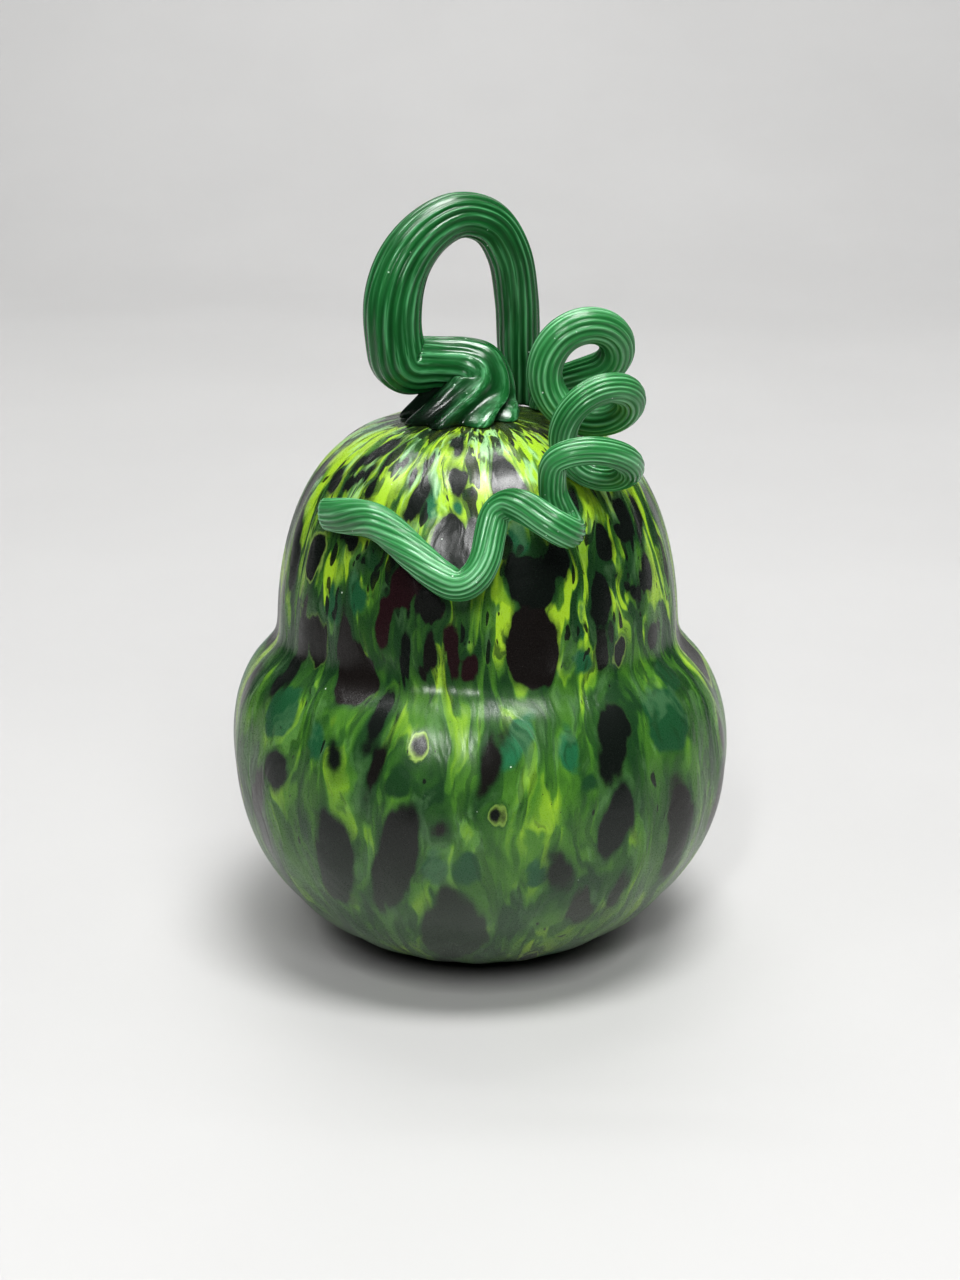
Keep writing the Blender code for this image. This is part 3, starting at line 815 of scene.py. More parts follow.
class Socket:
    """A shader socket that Python's operators work on, so that an expression adds its nodes."""

    def __init__(self, tree, output=None):
        self.tree = tree
        self.output = output

    def node(self, kind, settings=None, inputs=None, output=0):
        """Adds a node: its settings first, then the values or links of its sockets."""
        made = self.tree.nodes.new(kind)
        for name, value in (settings or {}).items():
            if name == "stops":
                self.set_stops(made.color_ramp, value)
            else:
                setattr(made, name, value)
        for name, value in (inputs or {}).items():
            if isinstance(value, Socket):
                self.tree.links.new(value.output, made.inputs[name])
            else:
                made.inputs[name].default_value = value
        return Socket(self.tree, made.outputs[output])

    @staticmethod
    def set_stops(ramp, stops):
        while len(ramp.elements) < len(stops):
            ramp.elements.new(1.0)
        for element, (place, colour) in zip(ramp.elements, stops):
            element.position = place
            element.color = (*colour, 1.0)

    def math(self, operation, *values):
        return self.node("ShaderNodeMath", {"operation": operation}, dict(enumerate(values)))

    def __add__(self, other):
        return self.math("ADD", self, other)

    def __sub__(self, other):
        return self.math("SUBTRACT", self, other)

    def __rsub__(self, other):
        return self.math("SUBTRACT", other, self)

    def __mul__(self, other):
        return self.math("MULTIPLY", self, other)

    def __pow__(self, other):
        return self.math("POWER", self, other)

    __radd__ = __add__
    __rmul__ = __mul__

    def vector(self, operation, other):
        return self.node("ShaderNodeVectorMath", {"operation": operation}, {0: self, 1: other})

    def stretched(self, factors):
        return self.vector("MULTIPLY", factors)

    def moved(self, offset):
        return self.vector("ADD", offset)

    def between(self, low, high):
        """0 below low and 1 above high, with a smooth rise from one to the other."""
        settings = {"interpolation_type": "SMOOTHSTEP"}
        return self.node("ShaderNodeMapRange", settings, {0: self, 1: low, 2: high})

    def mixed(self, first, second):
        """The first colour where this mask is 0 and the second where it is 1."""
        settings = {"data_type": "RGBA"}
        return self.node("ShaderNodeMix", settings, {0: self, 6: first, 7: second}, 2)

    def line_at(self, level, half_width):
        """A soft line where this number passes a level."""
        return 1.0 - (self - level).math("ABSOLUTE").between(0.0, half_width)

    def ramp(self, stops):
        """The colour at this number along a row of (place, colour) stops."""
        return self.node("ShaderNodeValToRGB", {"stops": stops}, {0: self})

    def melted_cells(self, scale, smoothness):
        """One random number for each of many cells, which melt into each other at their edges."""
        inputs = {"Vector": self, "Scale": scale, "Smoothness": smoothness}
        cells = self.node("ShaderNodeTexVoronoi", {"feature": "SMOOTH_F1"}, inputs, "Color")
        return self.node("ShaderNodeSeparateColor", None, {0: cells}, 0)

    def cells(self, scale):
        """How far the nearest of many random points is, and a random number for each of them."""
        inputs = {"Vector": self, "Scale": scale}
        distance = self.node("ShaderNodeTexVoronoi", {"feature": "F1"}, inputs, "Distance")
        tint = self.node("ShaderNodeTexVoronoi", {"feature": "F1"}, inputs, "Color")
        return distance, self.node("ShaderNodeSeparateColor", None, {0: tint}, 0)

    def dropped_cells(self, scale):
        """Drops of random strength: up to about 2 at the middle of a strong one, 0 between them."""
        distance, strength = self.cells(scale)
        return strength + 1.0 - distance * 2.2

    def noise(self, scale, detail=2.0, roughness=0.5, output=0):
        inputs = {"Vector": self, "Scale": scale, "Detail": detail, "Roughness": roughness}
        return self.node("ShaderNodeTexNoise", None, inputs, output)


def attribute(tree, name, output):
    return tree.node("ShaderNodeAttribute", {"attribute_name": name}, None, output)


def colour(value):
    return (*value, 1.0)


def new_material(name, constants):
    """A material with a Principled shader, the shader's constant sockets set."""
    material = bpy.data.materials.new(name)
    material.use_nodes = True
    shader = material.node_tree.nodes["Principled BSDF"]
    for socket, value in constants.items():
        shader.inputs[socket].default_value = value
    return material, shader, Socket(material.node_tree)


def feed(shader, wires):
    for name, wire in wires.items():
        wire.tree.links.new(wire.output, shader.inputs[name])


def place_in_mm(tree):
    """Where each point of an object is, in mm."""
    return tree.node("ShaderNodeTexCoord", None, None, "Object").stretched((1.0 / MM,) * 3)


def specks(place, scale, size, share):
    """A mask of small round specks, only some of the cells having one."""
    distance, chance = place.cells(scale)
    return (1.0 - distance.between(size * 0.5, size)) * chance.between(1.0 - share, 1.0 - share * 0.8)


def bumped(relief):
    """The normal of a surface that has this relief."""
    inputs = {"Strength": BUMP_STRENGTH, "Distance": BUMP_DISTANCE, "Height": relief}
    return relief.node("ShaderNodeBump", None, inputs, "Normal")


class MottledGlass:
    """Colours and relief of the blown body, laid over each other from the ground colour outwards."""

    def __init__(self, tree, settings):
        self.tree = tree
        self.settings = settings
        self.flow = attribute(tree, "flow", "Vector")
        self.place = place_in_mm(tree)
        self.height = self.place.node("ShaderNodeSeparateXYZ", None, {0: self.place}, 2)
        self.crown = self.height.between(122.0, 142.0)
        self.belly = self.height.between(8.0, 40.0) * (1.0 - self.height.between(74.0, 92.0))
        self.upper = self.height.between(92.0, 102.0)
        self.drawn = self.drawn_down()
        self.clouds = self.drawn.stretched((1.0, 1.0, 0.25)).noise(0.12, 3.0, 0.6)
        fine = self.drawn.stretched((1.0, 1.0, 0.16))
        self.shade = fine.moved((3.0, 50.0, 1.0)).noise(0.26, 3.0, 0.6)
        bundles = self.drawn.moved((5.0, 80.0, 9.0)).stretched((1.0, 1.0, 0.4)).noise(0.07, 1.0)
        threads = fine.noise(0.3, 2.0, 0.5).line_at(0.5, 0.022)
        self.threads = threads * (bundles.between(0.40, 0.60) * 0.9 + 0.1)
        self.chip = self.chip_distance()
        self.base = self.melted_grains()

    def drawn_down(self):
        """The glass is drawn down the body, so what varies in it is long and wavers sideways."""
        slow = self.flow.stretched((1.0, 1.0, 0.5)).noise(0.045, 2.0, 0.5, "Color")
        quick = self.flow.stretched((1.0, 1.0, 0.4)).noise(0.17, 2.0, 0.5, "Color")
        slow = slow.moved((-0.5, -0.5, -0.5)).stretched((24.0, 24.0, 36.0))
        quick = quick.moved((-0.5, -0.5, -0.5)).stretched((7.0, 7.0, 12.0))
        return self.flow.vector("ADD", slow).vector("ADD", quick)

    def chip_distance(self):
        """Distance in mm to the nearest chip's edge, which is ragged, notched and feathered."""
        flow = self.flow
        ragged = flow.stretched((1.0, 1.0, 0.6)).noise(0.11, 0.0) - 0.5
        notched = flow.stretched((1.0, 1.0, 0.7)).noise(0.3, 0.0) - 0.5
        feathered = flow.stretched((1.0, 1.0, 0.16)).noise(0.42, 1.0) - 0.5
        smooth = attribute(self.tree, "chip", "Fac")
        return smooth + ragged * 4.8 + notched * 1.9 + feathered * 3.6 + (flow.noise(1.1, 1.0) - 0.5) * 0.5

    def melted_grains(self):
        """Melted grains of light and dark green glass."""
        settings = self.settings
        pool = attribute(self.tree, "pool", "Fac")
        coarse = self.drawn.stretched((1.0, 1.0, 0.32)).melted_cells(0.11, 0.35)
        small = self.drawn.stretched((1.0, 1.0, 0.28)).melted_cells(0.24, 0.3)
        light = coarse * (0.38 - self.upper * 0.2) + small * (0.42 + self.upper * 0.2)
        light = light + (self.clouds - 0.5) * 1.1 + 0.1
        # More lime towards the crown: partly the glass's own colour, partly painted light on the top-lit
        # crown
        light = light + self.crown * 0.38 - self.belly * 0.01 - pool * 0.035
        light = (light - 0.47) * (1.0 + self.upper * 0.3 - self.belly * 0.25) + 0.47
        return light.ramp((
            (0.14, settings.forest),
            (0.33, settings.moss),
            (0.50, settings.leaf),
            (0.64, settings.olive_lime),
            (0.80, settings.lime),
        ))

    def lay(self, mask, tint):
        """Lays a colour over what is there, where the mask is."""
        over = tint if isinstance(tint, Socket) else colour(tint)
        self.base = mask.mixed(self.base, over)

    def patches(self):
        """Pieces of dark green and teal glass."""
        patch = attribute(self.tree, "patch", "Fac")
        teal = attribute(self.tree, "teal", "Fac")
        edge = patch + (self.drawn.moved((70.0, 2.0, 0.0)).noise(0.15, 2.0, 0.5) - 0.5) * 6.0
        green = teal.mixed(colour(self.settings.forest), colour(self.settings.teal))
        self.lay(1.0 - edge.between(-0.8, 1.0), green)

    def streaks(self):
        """Dark green streaks, threads of lime and pale veins."""
        self.lay(self.shade.between(0.54, 0.63) * (0.8 - self.belly * 0.3), self.settings.forest)
        self.lay(self.threads, self.settings.lime)
        veins = self.drawn.moved((31.0, 7.0, 3.0)).stretched((1.0, 1.0, 0.3)).noise(0.1, 2.0)
        self.lay(veins.line_at(0.5, 0.014) * 0.8, self.settings.pale_lime)

    def wisps(self):
        """Milky wisps, most of them on the crown."""
        milk = self.drawn.moved((41.0, 13.0, 5.0)).stretched((1.0, 1.0, 0.4)).noise(0.16, 3.0, 0.6)
        self.lay(milk.between(0.52, 0.66) * (0.1 + self.crown * 0.75), self.settings.mint)

    def splinters(self):
        """Splinters and smaller slivers of dark glass, more of them on the upper lobe."""
        splinters = self.drawn.moved((11.0, 3.0, 40.0)).stretched((1.0, 1.0, 0.36)).dropped_cells(0.17)
        level = 1.62 - self.upper * 0.46 - self.crown * 0.14
        self.lay(splinters.between(level, level + 0.1) * 0.95, self.settings.black)
        slivers = self.drawn.moved((2.0, 61.0, 17.0)).stretched((1.0, 1.0, 0.42)).dropped_cells(0.36)
        sliver_level = 1.56 - self.upper * 0.34 - self.crown * 0.08
        self.lay(slivers.between(sliver_level, sliver_level + 0.12) * 0.9, self.settings.black)

    def root_dark_glass_and_shadow(self):
        """Dark round the root: partly dark glass, partly painted shadow under the stem."""
        wander = self.drawn.stretched((1.0, 1.0, 0.5)).noise(0.2, 2.0, 0.6) - 0.5
        edge = self.height + wander * 13.0
        # Dark glass and painted shadow of the stem round the root
        self.lay(edge.between(148.0, 149.0) * 0.92, self.settings.black)

    def chips(self):
        """Chips of black and wine red glass, each in a thin stain of dark green."""
        settings = self.settings
        rim = attribute(self.tree, "rim", "Fac")
        wine = attribute(self.tree, "wine", "Fac")
        self.lay((1.0 - self.chip.between(-0.2, 2.0)) * 0.7, settings.forest)
        ring = (1.0 - self.chip.between(0.25, 0.75)) * rim.between(0.35, 1.0)
        self.lay(ring * 0.75, settings.pale_lime)
        dark = wine.mixed(colour(settings.black), colour(settings.wine))
        soft = 0.3 + self.belly * 0.4
        inside = 1.0 - self.chip.between(0.0 - soft, soft)
        self.lay(inside * (1.0 - self.threads * 0.5), dark)

    def floor_reflection_and_specks(self):
        """A painted reflection of the pale floor that is heavier towards the foot, with white flecks and
        dark pits.
        """
        # Painted reflection of the floor, heavier towards the foot
        painted_floor_reflection = 0.40 - self.height.between(5.0, 60.0) * 0.38
        self.lay(painted_floor_reflection * (0.7 + self.clouds * 0.6), self.settings.painted_floor_reflection)
        self.lay(specks(self.place, 0.23, 0.07, 0.10) * 0.8, self.settings.fleck)
        pits = specks(self.place, 0.9, 0.22, 0.35) * self.place.noise(0.05, 1.0).between(0.6, 0.66)
        self.lay(pits * 0.7, self.settings.black)

    def relief(self, grain):
        """Height of the surface: its grain, sunken chips, streaks, ripples and dimples."""
        ripples = self.drawn.stretched((1.0, 1.0, 0.4)).noise(0.1, 2.0, 0.5)
        dimples = self.drawn.stretched((1.0, 1.0, 0.5)).noise(0.32, 1.0)
        relief = grain * 0.05 + self.chip.between(-1.0, 1.0) * 0.1 + self.shade * 0.15
        return relief + ripples * 1.7 + dimples * 0.5


def mottled_glass(settings):
    """Satin glass with streaks of lime and green, chips of dark glass and a fine etched grain."""
    constants = {"IOR": 1.5, "Specular IOR Level": 0.46}
    material, shader, tree = new_material("mottled_glass", constants)
    glass = MottledGlass(tree, settings)
    glass.patches()
    glass.streaks()
    glass.wisps()
    glass.splinters()
    glass.root_dark_glass_and_shadow()
    glass.chips()
    glass.floor_reflection_and_specks()
    grain = glass.place.noise(2.6, 3.0, 0.7)
    roughness = settings.roughness - 0.05 + grain * 0.1
    normal = bumped(glass.relief(grain))
    feed(shader, {"Base Color": glass.base, "Roughness": roughness, "Normal": normal})
    return material


def cane_glass(name, settings):
    """Satin green glass, paler on its ridges with etched frost and painted highlight, darker in its grooves
    with painted shade, with drawn streaks and a fine etched grain.
    """
    constants = {
        "IOR": 1.5,
        "Subsurface Weight": settings.milkiness,
        "Subsurface Radius": (0.3, 1.0, 0.4),
        "Subsurface Scale": 0.003,
    }
    material, shader, tree = new_material(name, constants)
    grain = attribute(tree, "grain", "Vector")
    ridge = attribute(tree, "ridge", "Fac")
    to_tip = attribute(tree, "to_tip", "Fac")
    smoke = attribute(tree, "smoke", "Fac")
    place = place_in_mm(tree)

    streaks = grain.stretched((1.0, 1.0, 0.05)).noise(0.9, 3.0, 0.6)
    clouds = grain.stretched((1.0, 1.0, 0.35)).noise(0.16, 2.0, 0.5)
    # Painted shade: the grooves take the deep colour, mixed in with darker clouds of the glass
    body = (ridge * 0.4 + clouds * 0.9 + streaks * 0.5 - 0.45).between(0.0, 1.0)
    base = body.mixed(colour(settings.deep), colour(settings.glass))
    # Etched frost and painted highlight along the ridges
    frost_and_highlight = ridge ** 3.0 * streaks.between(0.42, 0.64)
    base = (frost_and_highlight * 0.75).mixed(base, colour(settings.frost_and_highlight))
    cut = (1.0 - to_tip.between(0.3, 1.5)) * 0.8
    base = cut.mixed(base, colour(settings.frost_and_highlight))
    # Dark glass of the root, with painted shade on its left side and in its grooves
    base = smoke.mixed(base, colour(settings.smoke))
    white = specks(place, 0.35, 0.1, 0.16)
    base = (white * 0.7).mixed(base, colour(settings.fleck))

    etch = place.noise(2.4, 3.0, 0.7)
    roughness = settings.roughness - 0.06 + etch * 0.12
    normal = bumped(etch * 0.05 + streaks * 0.3)
    feed(shader, {"Base Color": base, "Roughness": roughness, "Normal": normal})
    return material


def seamless_paper(settings):
    """Pale, faintly glossy backdrop with very soft unevenness, dark where the body closes it in."""
    material, shader, tree = new_material("seamless_paper", {"Specular IOR Level": 0.4})
    place = tree.node("ShaderNodeTexCoord", None, None, "Object")
    clouds = place.noise(3.0, 4.0, 0.55)
    paler = tuple(min(1.0, part * 1.04) for part in settings.paper)
    base = clouds.between(0.3, 0.7).mixed(colour(settings.paper), colour(paler))
    open_sky = tree.node("ShaderNodeAmbientOcclusion", {"samples": 2}, {"Distance": CONTACT_REACH}, "AO")
    base = open_sky.between(0.15, 0.8).mixed(colour(CONTACT_SHADE), base)
    roughness = 0.42 + clouds * 0.1
    feed(shader, {"Base Color": base, "Roughness": roughness})
    return material


def colour_property(name, description, default):
    return FloatVectorProperty(
        name=name, description=description, default=default, size=3, min=0.0, max=1.0, subtype="COLOR"
    )


def size_property(name, description, default):
    return FloatProperty(
        name=name, description=description, default=default, min=0.0, subtype="DISTANCE", unit="LENGTH"
    )


def share_property(name, description, default):
    return FloatProperty(
        name=name, description=description, default=default, min=0.0, max=1.0, subtype="FACTOR"
    )


def power_property(name, description, default):
    return FloatProperty(name=name, description=description, default=default, min=0.0, unit="POWER")


class GourdBodySettings(bpy.types.PropertyGroup):
    """Sizes and colours of the blown body."""

    wall: size_property("Wall", "Thickness of the blown glass", 0.0035)
    ribs: IntProperty(name="Ribs", description="Ribs that the optic mould left", default=20, min=0)
    rib_height: size_property("Rib height", "How far the ribs stand out", 0.0006)
    lime: colour_property("Lime", "Brightest streaks", (0.33, 0.53, 0.028))
    pale_lime: colour_property("Pale lime", "Rims of the chips", (0.42, 0.62, 0.12))
    mint: colour_property("Mint", "Milky wisps", (0.34, 0.60, 0.30))
    olive_lime: colour_property("Olive lime", "Broad light pools", (0.17, 0.33, 0.022))
    leaf: colour_property("Leaf green", "Ground colour", (0.065, 0.185, 0.020))
    moss: colour_property("Moss green", "Deeper ground colour", (0.028, 0.10, 0.015))
    forest: colour_property("Forest green", "Dark streaks and patches", (0.010, 0.046, 0.012))
    teal: colour_property("Teal", "Patches of teal glass", (0.015, 0.13, 0.055))
    # Painted reflection of the pale floor, heavier towards the foot
    painted_floor_reflection: colour_property("Veil", "Heavier etching towards the foot", (0.10, 0.15, 0.10))
    black: colour_property("Black", "Dark chips", (0.003, 0.005, 0.004))
    wine: colour_property("Wine", "Dark red chips", (0.018, 0.003, 0.006))
    fleck: colour_property("Fleck", "Tiny white flecks", (0.75, 0.85, 0.75))
    roughness: share_property("Roughness", "How far the etched surface spreads light", 0.28)


class GourdStemSettings(bpy.types.PropertyGroup):
    """Sizes and colours of the stem."""

    flutes: IntProperty(name="Flutes", description="Ridges round the cane", default=18, min=3)
    root_flutes: IntProperty(name="Root flutes", description="Thick strands of the root", default=9, min=3)
    twist: FloatProperty(
        name="Twist", description="Turn of the flutes over the whole stem", default=math.radians(70.0),
        subtype="ANGLE", unit="ROTATION"
    )
    root_twist: FloatProperty(
        name="Root twist", description="More turn where the stem was set down",
        default=math.radians(32.0), subtype="ANGLE", unit="ROTATION"
    )
    glass: colour_property("Glass", "Colour of the cane", (0.016, 0.140, 0.036))
    # Deep colour: darker clouds of the glass, and painted shade in the grooves
    deep: colour_property("Deep", "Grooves and darker clouds", (0.003, 0.055, 0.010))
    # Frost colour: etched frost and painted highlight on the ridges, and the pale cut tip
    frost_and_highlight: colour_property("Frost", "Etched ridges", (0.12, 0.38, 0.18))
    # Dark glass of the root, which also carries the root's painted shade
    smoke: colour_property("Smoke", "Dark glass of the root", (0.002, 0.006, 0.003))
    fleck: colour_property("Fleck", "Tiny white flecks", (0.6, 0.8, 0.65))
    milkiness: share_property("Milkiness", "How far light spreads inside", 0.3)
    roughness: share_property("Roughness", "How far the etched surface spreads light", 0.22)


class GourdTendrilSettings(bpy.types.PropertyGroup):
    """Sizes and colours of the tendril."""

    flutes: IntProperty(name="Flutes", description="Ridges round the cane", default=18, min=3)
    twist: FloatProperty(
        name="Twist", description="Turn of the flutes over the whole tendril",
        default=math.radians(200.0), subtype="ANGLE", unit="ROTATION"
    )
    tip_twist: FloatProperty(
        name="Tip twist", description="More turn where the tip was pinched",
        default=math.radians(-170.0), subtype="ANGLE", unit="ROTATION"
    )
    glass: colour_property("Glass", "Colour of the cane", (0.055, 0.275, 0.092))
    # Deep colour: darker clouds of the glass, and painted shade in the grooves
    deep: colour_property("Deep", "Grooves and darker clouds", (0.012, 0.115, 0.026))
    # Frost colour: etched frost and painted highlight on the ridges, and the pale cut tip
    frost_and_highlight: colour_property("Frost", "Etched ridges", (0.26, 0.56, 0.32))
    # Dark glass and painted shade at the closed end of the foot
    smoke: colour_property("Smoke", "Dark glass of the foot", (0.002, 0.010, 0.004))
    fleck: colour_property("Fleck", "Tiny white flecks", (0.7, 0.85, 0.75))
    milkiness: share_property("Milkiness", "How far light spreads inside", 0.4)
    roughness: share_property("Roughness", "How far the etched surface spreads light", 0.24)


class GourdStageSettings(bpy.types.PropertyGroup):
    """The backdrop and the light."""

    paper: colour_property("Paper", "Colour of the backdrop", (0.49, 0.488, 0.483))
    window_power: power_property("Window", "Power of the broad light at the front right", 48.0)
    ceiling_power: power_property("Ceiling", "Power of the broad light overhead", 42.0)
    side_power: power_property("Side", "Power of the light above the left", 15.0)
    back_power: power_property("Back", "Power of the light above the back", 12.0)
    strip_power: power_property("Strip", "Power of the narrow light at the front", 11.0)
    wall_power: power_property("Wall", "Power of the light on the backdrop", 45.0)


class GOURD_OT_body(bpy.types.Operator):
    """Blows the hollow body with its neck, ribs and mottled colours"""

    bl_idname = "gourd.body"
    bl_label = "Body"

    def execute(self, context):
        settings = context.scene.gourd_body
        outline = Outline()
        skin = BodyRings(outline, settings)
        points = np.vstack((skin.points.reshape(-1, 3), skin.closing))
        faces = closed_faces(*skin.points.shape[:2])
        piece = finished_piece("mottled_body", points, faces, body_attributes(outline, skin))
        hand_over(piece, "glass_body", mottled_glass(settings))
        return {"FINISHED"}


class BodyRings:
    """Rings of points over the outside of the body, down its mouth and round its hollow."""

    def __init__(self, outline, settings):
        outside = evenly_spaced(outline.line, OUTER_RINGS)
        middle = evenly_spaced(outline.line, INNER_RINGS)
        along = np.gradient(middle, axis=0)
        along /= np.linalg.norm(along, axis=1)[:, None]
        wall = settings.wall / MM
        inside = middle + np.column_stack((-along[:, 1], along[:, 0])) * wall
        inside[-1] = outline.line[-1] - (0.0, wall)
        line = np.vstack((outside, inside[::-1]))
        azimuth = 2.0 * math.pi * np.arange(BODY_SIDES) / BODY_SIDES
        dip = groove(line[:, :1], azimuth[None, :], settings.ribs, settings.rib_height / MM)
        dip[OUTER_RINGS:] = 0.0
        radius = line[:, :1] - dip
        self.points = np.empty((len(line), BODY_SIDES, 3))
        self.points[:, :, 0] = sway(line[:, 1])[:, None] + radius * np.cos(azimuth)
        self.points[:, :, 1] = radius * np.sin(azimuth)
        self.points[:, :, 2] = line[:, 1:]
        self.closing = np.array(((0.0, 0.0, 0.0), (0.0, 0.0, line[-1, 1])))
        self.azimuth = np.broadcast_to(azimuth, radius.shape).ravel()
        self.radius = np.broadcast_to(line[:, :1], radius.shape).ravel()
        self.run = np.broadcast_to(outline.run_at(line[:, 1:]), radius.shape).ravel()


def body_attributes(outline, skin):
    """What the finish needs to know of each point of the body."""
    rng = np.random.default_rng(SCATTER_SEED)
    chips = [Mark.between(outline, *row) for row in CHIPS]
    patches = [Mark.between(outline, *row[:5], PIECE_TAPER, row[5]) for row in PATCHES]
    pools = [Mark.between(outline, *row, PIECE_TAPER) for row in POOLS]
    chips += scattered(outline, rng, chips, *SCATTERED_CHIPS)
    patches += scattered(outline, rng, patches, *SCATTERED_PATCHES)
    pools += scattered(outline, rng, pools, *SCATTERED_POOLS)
    where = (skin.azimuth, skin.radius, skin.run)
    chip, wine, rim, push = field_of(chips, *where)
    patch, teal, _, patch_push = field_of(patches, *where)
    pool = field_of(pools, *where)[0]
    turned = skin.azimuth + (push + PATCH_PUSH * patch_push) / np.maximum(skin.radius, LEAST_RADIUS)
    flow = np.column_stack(
        (FLOW_RADIUS * np.cos(turned), FLOW_RADIUS * np.sin(turned), skin.run)
    )
    attributes = {
        "chip": chip,
        "wine": wine,
        "rim": rim,
        "patch": np.clip(patch, -PATCH_REACH, PATCH_REACH),
        "teal": teal,
        "pool": np.clip(pool, -POOL_REACH, POOL_REACH),
    }
    padded = {name: np.append(values, values[[0, -1]]) for name, values in attributes.items()}
    padded["flow"] = np.vstack((flow, flow[[0, -1]]))
    return padded


class GOURD_OT_stem(bpy.types.Operator):
    """Pulls the fluted stem from its root on the crown over its loop"""

    bl_idname = "gourd.stem"
    bl_label = "Stem"

    def execute(self, context):
        settings = context.scene.gourd_stem
        body = context.scene.gourd_body
        outline = Outline()
        places = evenly_spaced(smooth_curve(STEM), STEM_SECTIONS)
        share = np.linspace(0.0, 1.0, STEM_SECTIONS)
        twist = settings.twist * share + settings.root_twist * smooth_step(0.0, STEM_ROOT_SHARE, share)
        cane = Cane(places, STEM_SIDES, settings.flutes, settings.root_flutes, twist, STEM_ROOT_SHARE)
        points = cane.points()
        set_on_crown(points, cane.centres, STEM_SEATED, outline, body)
        set_on_crown(points[::-1], cane.centres[::-1], STEM_SEATED, outline, body)
        # Painted shade and dark glass on the root: darker on its left side under the elbow and in its
        # grooves
        rooted = 1.0 - smooth_step(0.7 * STEM_ROOT_SHARE, 1.1 * STEM_ROOT_SHARE, share)[:, None]
        left = smooth_step(SMOKE_AND_SHADE_START, SMOKE_AND_SHADE_FULL, points[:, :, 0])
        smoke = rooted * np.clip(left * SMOKE_AND_SHADE_LEFT + cane.groove ** 2 * GROOVE_SHADE, 0.0, SMOKE_AND_SHADE_MOST)
        piece = cane_mesh("looped_stem", cane, points, smoke)
        hand_over(piece, "stem", cane_glass("stem_glass", settings))
        return {"FINISHED"}


class GOURD_OT_tendril(bpy.types.Operator):
    """Winds the fluted tendril into its coil and lays its tail across the front"""

    bl_idname = "gourd.tendril"
    bl_label = "Tendril"

    def execute(self, context):
        settings = context.scene.gourd_tendril
        body = context.scene.gourd_body
        outline = Outline()
        stations = [*TENDRIL_FOOT, *coil_points(), *tail_points()]
        places = evenly_spaced(smooth_curve(stations), TENDRIL_SECTIONS)
        share = np.linspace(0.0, 1.0, TENDRIL_SECTIONS)
        twist = settings.twist * share + settings.tip_twist * smooth_step(TIP_TWIST_START, 1.0, share)
        flutes = settings.flutes
        cane = Cane(places, TENDRIL_SIDES, flutes, flutes, twist, TENDRIL_ROOT_SHARE)
        cane.press(1.0 - (1.0 - FLAT_KEEP) * smooth_step(1.0 - FLAT_SHARE, 1.0, share))
        cane.round_tip()
        points = cane.points()
        set_on_crown(points, cane.centres, TENDRIL_SEATED, outline, body)
        piece = cane_mesh("curled_tendril", cane, points, np.zeros(points.shape[:2]))
        hand_over(piece, "tendril", cane_glass("tendril_glass", settings))
        return {"FINISHED"}


def coil_station(turn):
    """The coil's middle, radius, half thickness and lean at a count of turns from its start."""
    table = np.array(COIL)
    reach = (turn - COIL_FIRST) / COIL_STEP
    start = min(max(int(math.floor(reach)), 0), len(table) - 2)
    share = reach - start
    first, second = table[start], table[start + 1]
    slope_in = (second - table[max(start - 1, 0)]) / 2.0
    slope_out = (table[min(start + 2, len(table) - 1)] - first) / 2.0
    square, cube = share ** 2, share ** 3
    return (
        first * (2.0 * cube - 3.0 * square + 1.0)
        + slope_in * (cube - 2.0 * square + share)
        + second * (3.0 * square - 2.0 * cube)
        + slope_out * (cube - square)
    )


def coil_points():
    """The curled stretch: it winds right, up, left and down while its centre comes forward."""
    points = []
    for turn in np.linspace(*COIL_TURNS, COIL_POINTS):
        x, z, radius, thickness, lean = coil_station(turn)
        y = COIL_DEPTH - COIL_PITCH * (turn - COIL_FIRST)
        leaning_up = np.array((0.0, -math.sin(math.radians(lean)), math.cos(math.radians(lean))))
        angle = 2.0 * math.pi * turn
        spot = np.array((x + radius * math.cos(angle), y, z)) + leaning_up * radius * math.sin(angle)
        points.append((*spot, thickness, COIL_FLUTE_DEPTH))
    return points


def tail_points():
    """The tail's centre line, each pixel taken back to where it lies in front of the camera."""
    points = []
    for u, v, reach, thickness in TENDRIL_TAIL:
        spot = np.array(CAMERA_PLACE) + seen_direction(u, v) * reach
        points.append((*spot, thickness, TAIL_FLUTE_DEPTH))
    return points


class GOURD_OT_stage(bpy.types.Operator):
    """Lays the pale backdrop, hangs the soft lights and sets up the camera"""

    bl_idname = "gourd.stage"
    bl_label = "Stage"

    def execute(self, context):
        settings = context.scene.gourd_stage
        paper = seamless_paper(settings)
        sweep = paper_sheet("backdrop", sweep_profile())
        # The body's front shows no bright floor beyond the paper's near end
        apron = paper_sheet("apron", [(APRON_END, 0.0), (PAPER_END, 0.0)])
        apron.visible_glossy = False
        for sheet in (sweep, apron):
            sheet.data.materials.append(paper)
        window = area_light("window_light", settings.window_power, *WINDOW_LIGHT)
        area_light("ceiling_light", settings.ceiling_power, *CEILING_LIGHT)
        side = area_light("side_light", settings.side_power, *SIDE_LIGHT)
        back = area_light("back_light", settings.back_power, *BACK_LIGHT)
        area_light("strip_light", settings.strip_power, *STRIP_LIGHT)
        area_light("wall_light", settings.wall_power, *WALL_LIGHT)
        # The window fills the front evenly, and the lights at the left and back only glint on the glass
        window.visible_glossy = False
        side.visible_diffuse = False
        back.visible_diffuse = False
        dim_room(context.scene)
        add_camera(context.scene)
        context.scene.view_settings.view_transform = "Standard"
        context.scene.view_settings.gamma = PICTURE_GAMMA
        return {"FINISHED"}


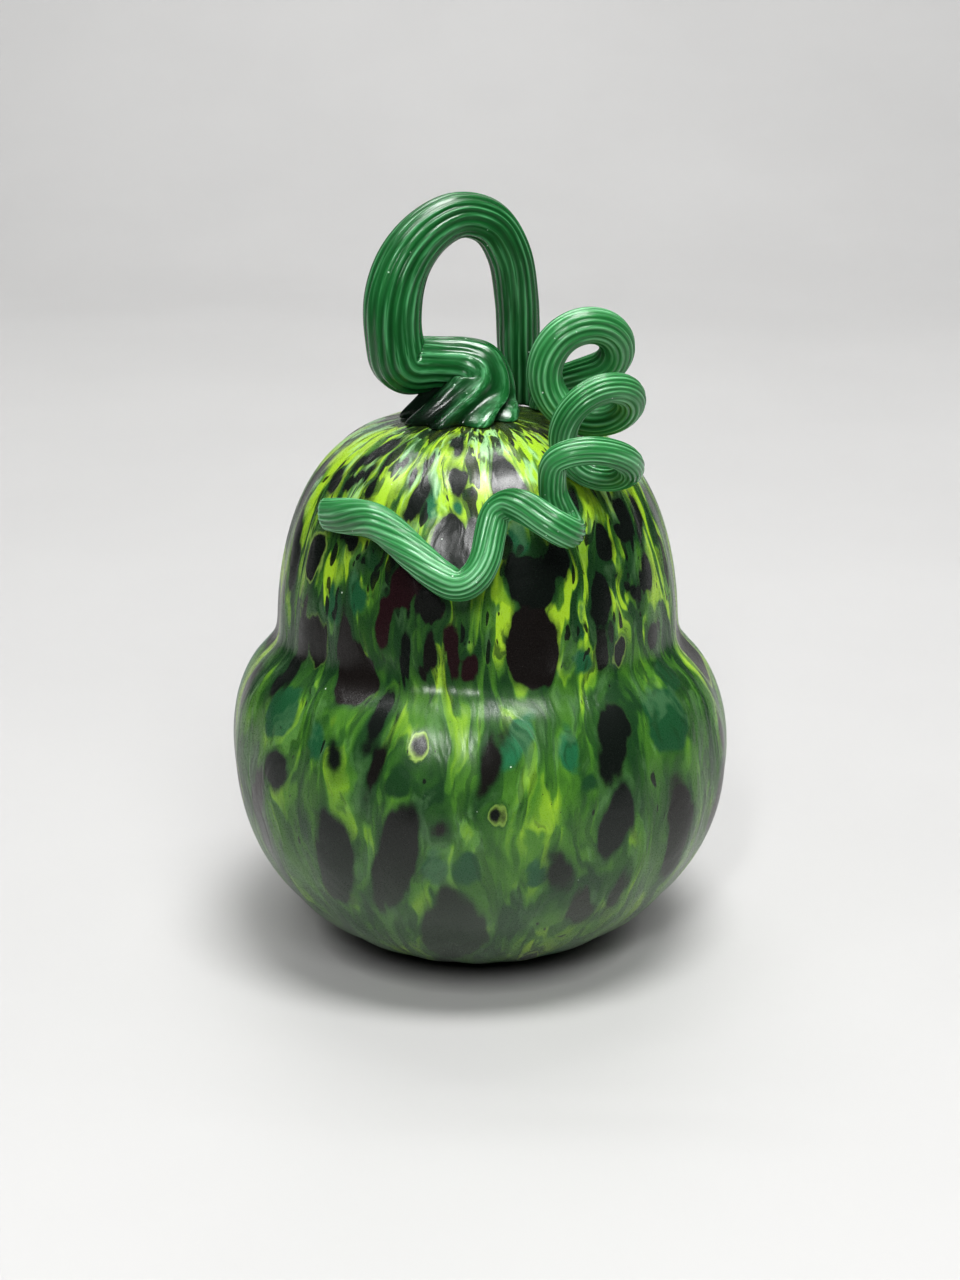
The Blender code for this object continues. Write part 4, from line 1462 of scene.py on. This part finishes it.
def sweep_profile():
    """Depth and height along the paper, which curves up behind the object."""
    profile = [(PAPER_END, 0.0), (WALL_START, 0.0)]
    for step in range(1, WALL_STEPS + 1):
        angle = math.radians(90.0) * step / WALL_STEPS
        profile.append((WALL_START + WALL_BEND * math.sin(angle), WALL_BEND * (1.0 - math.cos(angle))))
    profile.append((WALL_START + WALL_BEND, WALL_HEIGHT))
    return profile


def paper_sheet(name, profile):
    """A wide sheet of paper whose profile gives its depth and height."""
    points = [(x, y, z) for y, z in profile for x in (-PAPER_HALF_WIDTH, PAPER_HALF_WIDTH)]
    faces = [(2 * i, 2 * i + 1, 2 * i + 3, 2 * i + 2) for i in range(len(profile) - 1)]
    mesh = bpy.data.meshes.new(name)
    mesh.from_pydata(points, [], faces)
    mesh.shade_smooth()
    return linked(name, mesh)


def area_light(name, power, place, target, width, height):
    data = bpy.data.lights.new(name, "AREA")
    data.energy = power
    data.shape = "ELLIPSE"
    data.size = width
    data.size_y = height
    lamp = linked(name, data)
    lamp.location = place
    lamp.rotation_euler = (Vector(target) - Vector(place)).to_track_quat("-Z", "Y").to_euler()
    return lamp


def dim_room(scene):
    """A room that is pale above, dim at the level of the camera, and pale behind the object."""
    world = bpy.data.worlds.new("room")
    world.use_nodes = True
    scene.world = world
    tree = Socket(world.node_tree)
    direction = tree.node("ShaderNodeTexCoord", None, None, "Generated")
    height = direction.node("ShaderNodeSeparateXYZ", None, {0: direction}, 2)
    glow = height.between(0.3, 0.95).mixed(colour(ROOM_DIM), colour(ROOM_PALE))
    direct = tree.node("ShaderNodeLightPath", None, None, "Is Camera Ray")
    glow = direct.mixed(glow, colour(ROOM_BEHIND))
    background = world.node_tree.nodes["Background"]
    tree.tree.links.new(glow.output, background.inputs["Color"])
    background.inputs["Strength"].default_value = 1.0


def add_camera(scene):
    data = bpy.data.cameras.new("camera")
    data.sensor_fit = "VERTICAL"
    data.sensor_height = SENSOR_HEIGHT
    data.lens = FOCAL_PIXELS / FRAME_HEIGHT * SENSOR_HEIGHT
    camera = linked("camera", data)
    camera.location = Vector(CAMERA_PLACE) * MM
    camera.rotation_euler = (math.radians(90.0) - CAMERA_PITCH, 0.0, 0.0)
    scene.camera = camera


class GOURD_PT_panel(bpy.types.Panel):
    """Buttons and settings of the gourd"""

    bl_idname = "GOURD_PT_panel"
    bl_label = "Blown Glass Gourd"
    bl_space_type = "VIEW_3D"
    bl_region_type = "UI"
    bl_category = "Gourd"

    def draw(self, context):
        for operator, name, _ in PARTS:
            box = self.layout.box()
            box.operator(operator.bl_idname)
            settings = getattr(context.scene, name)
            for field in settings.__annotations__:
                box.prop(settings, field)


PARTS = (
    (GOURD_OT_body, "gourd_body", GourdBodySettings),
    (GOURD_OT_stem, "gourd_stem", GourdStemSettings),
    (GOURD_OT_tendril, "gourd_tendril", GourdTendrilSettings),
    (GOURD_OT_stage, "gourd_stage", GourdStageSettings),
)


def register():
    for operator, name, group in PARTS:
        bpy.utils.register_class(group)
        bpy.utils.register_class(operator)
        setattr(bpy.types.Scene, name, PointerProperty(type=group))
    bpy.utils.register_class(GOURD_PT_panel)


def unregister():
    bpy.utils.unregister_class(GOURD_PT_panel)
    for operator, name, group in PARTS:
        delattr(bpy.types.Scene, name)
        bpy.utils.unregister_class(operator)
        bpy.utils.unregister_class(group)


def main():
    register()
    bpy.ops.gourd.body()
    bpy.ops.gourd.stem()
    bpy.ops.gourd.tendril()
    bpy.ops.gourd.stage()


if __name__ == "__main__":
    main()
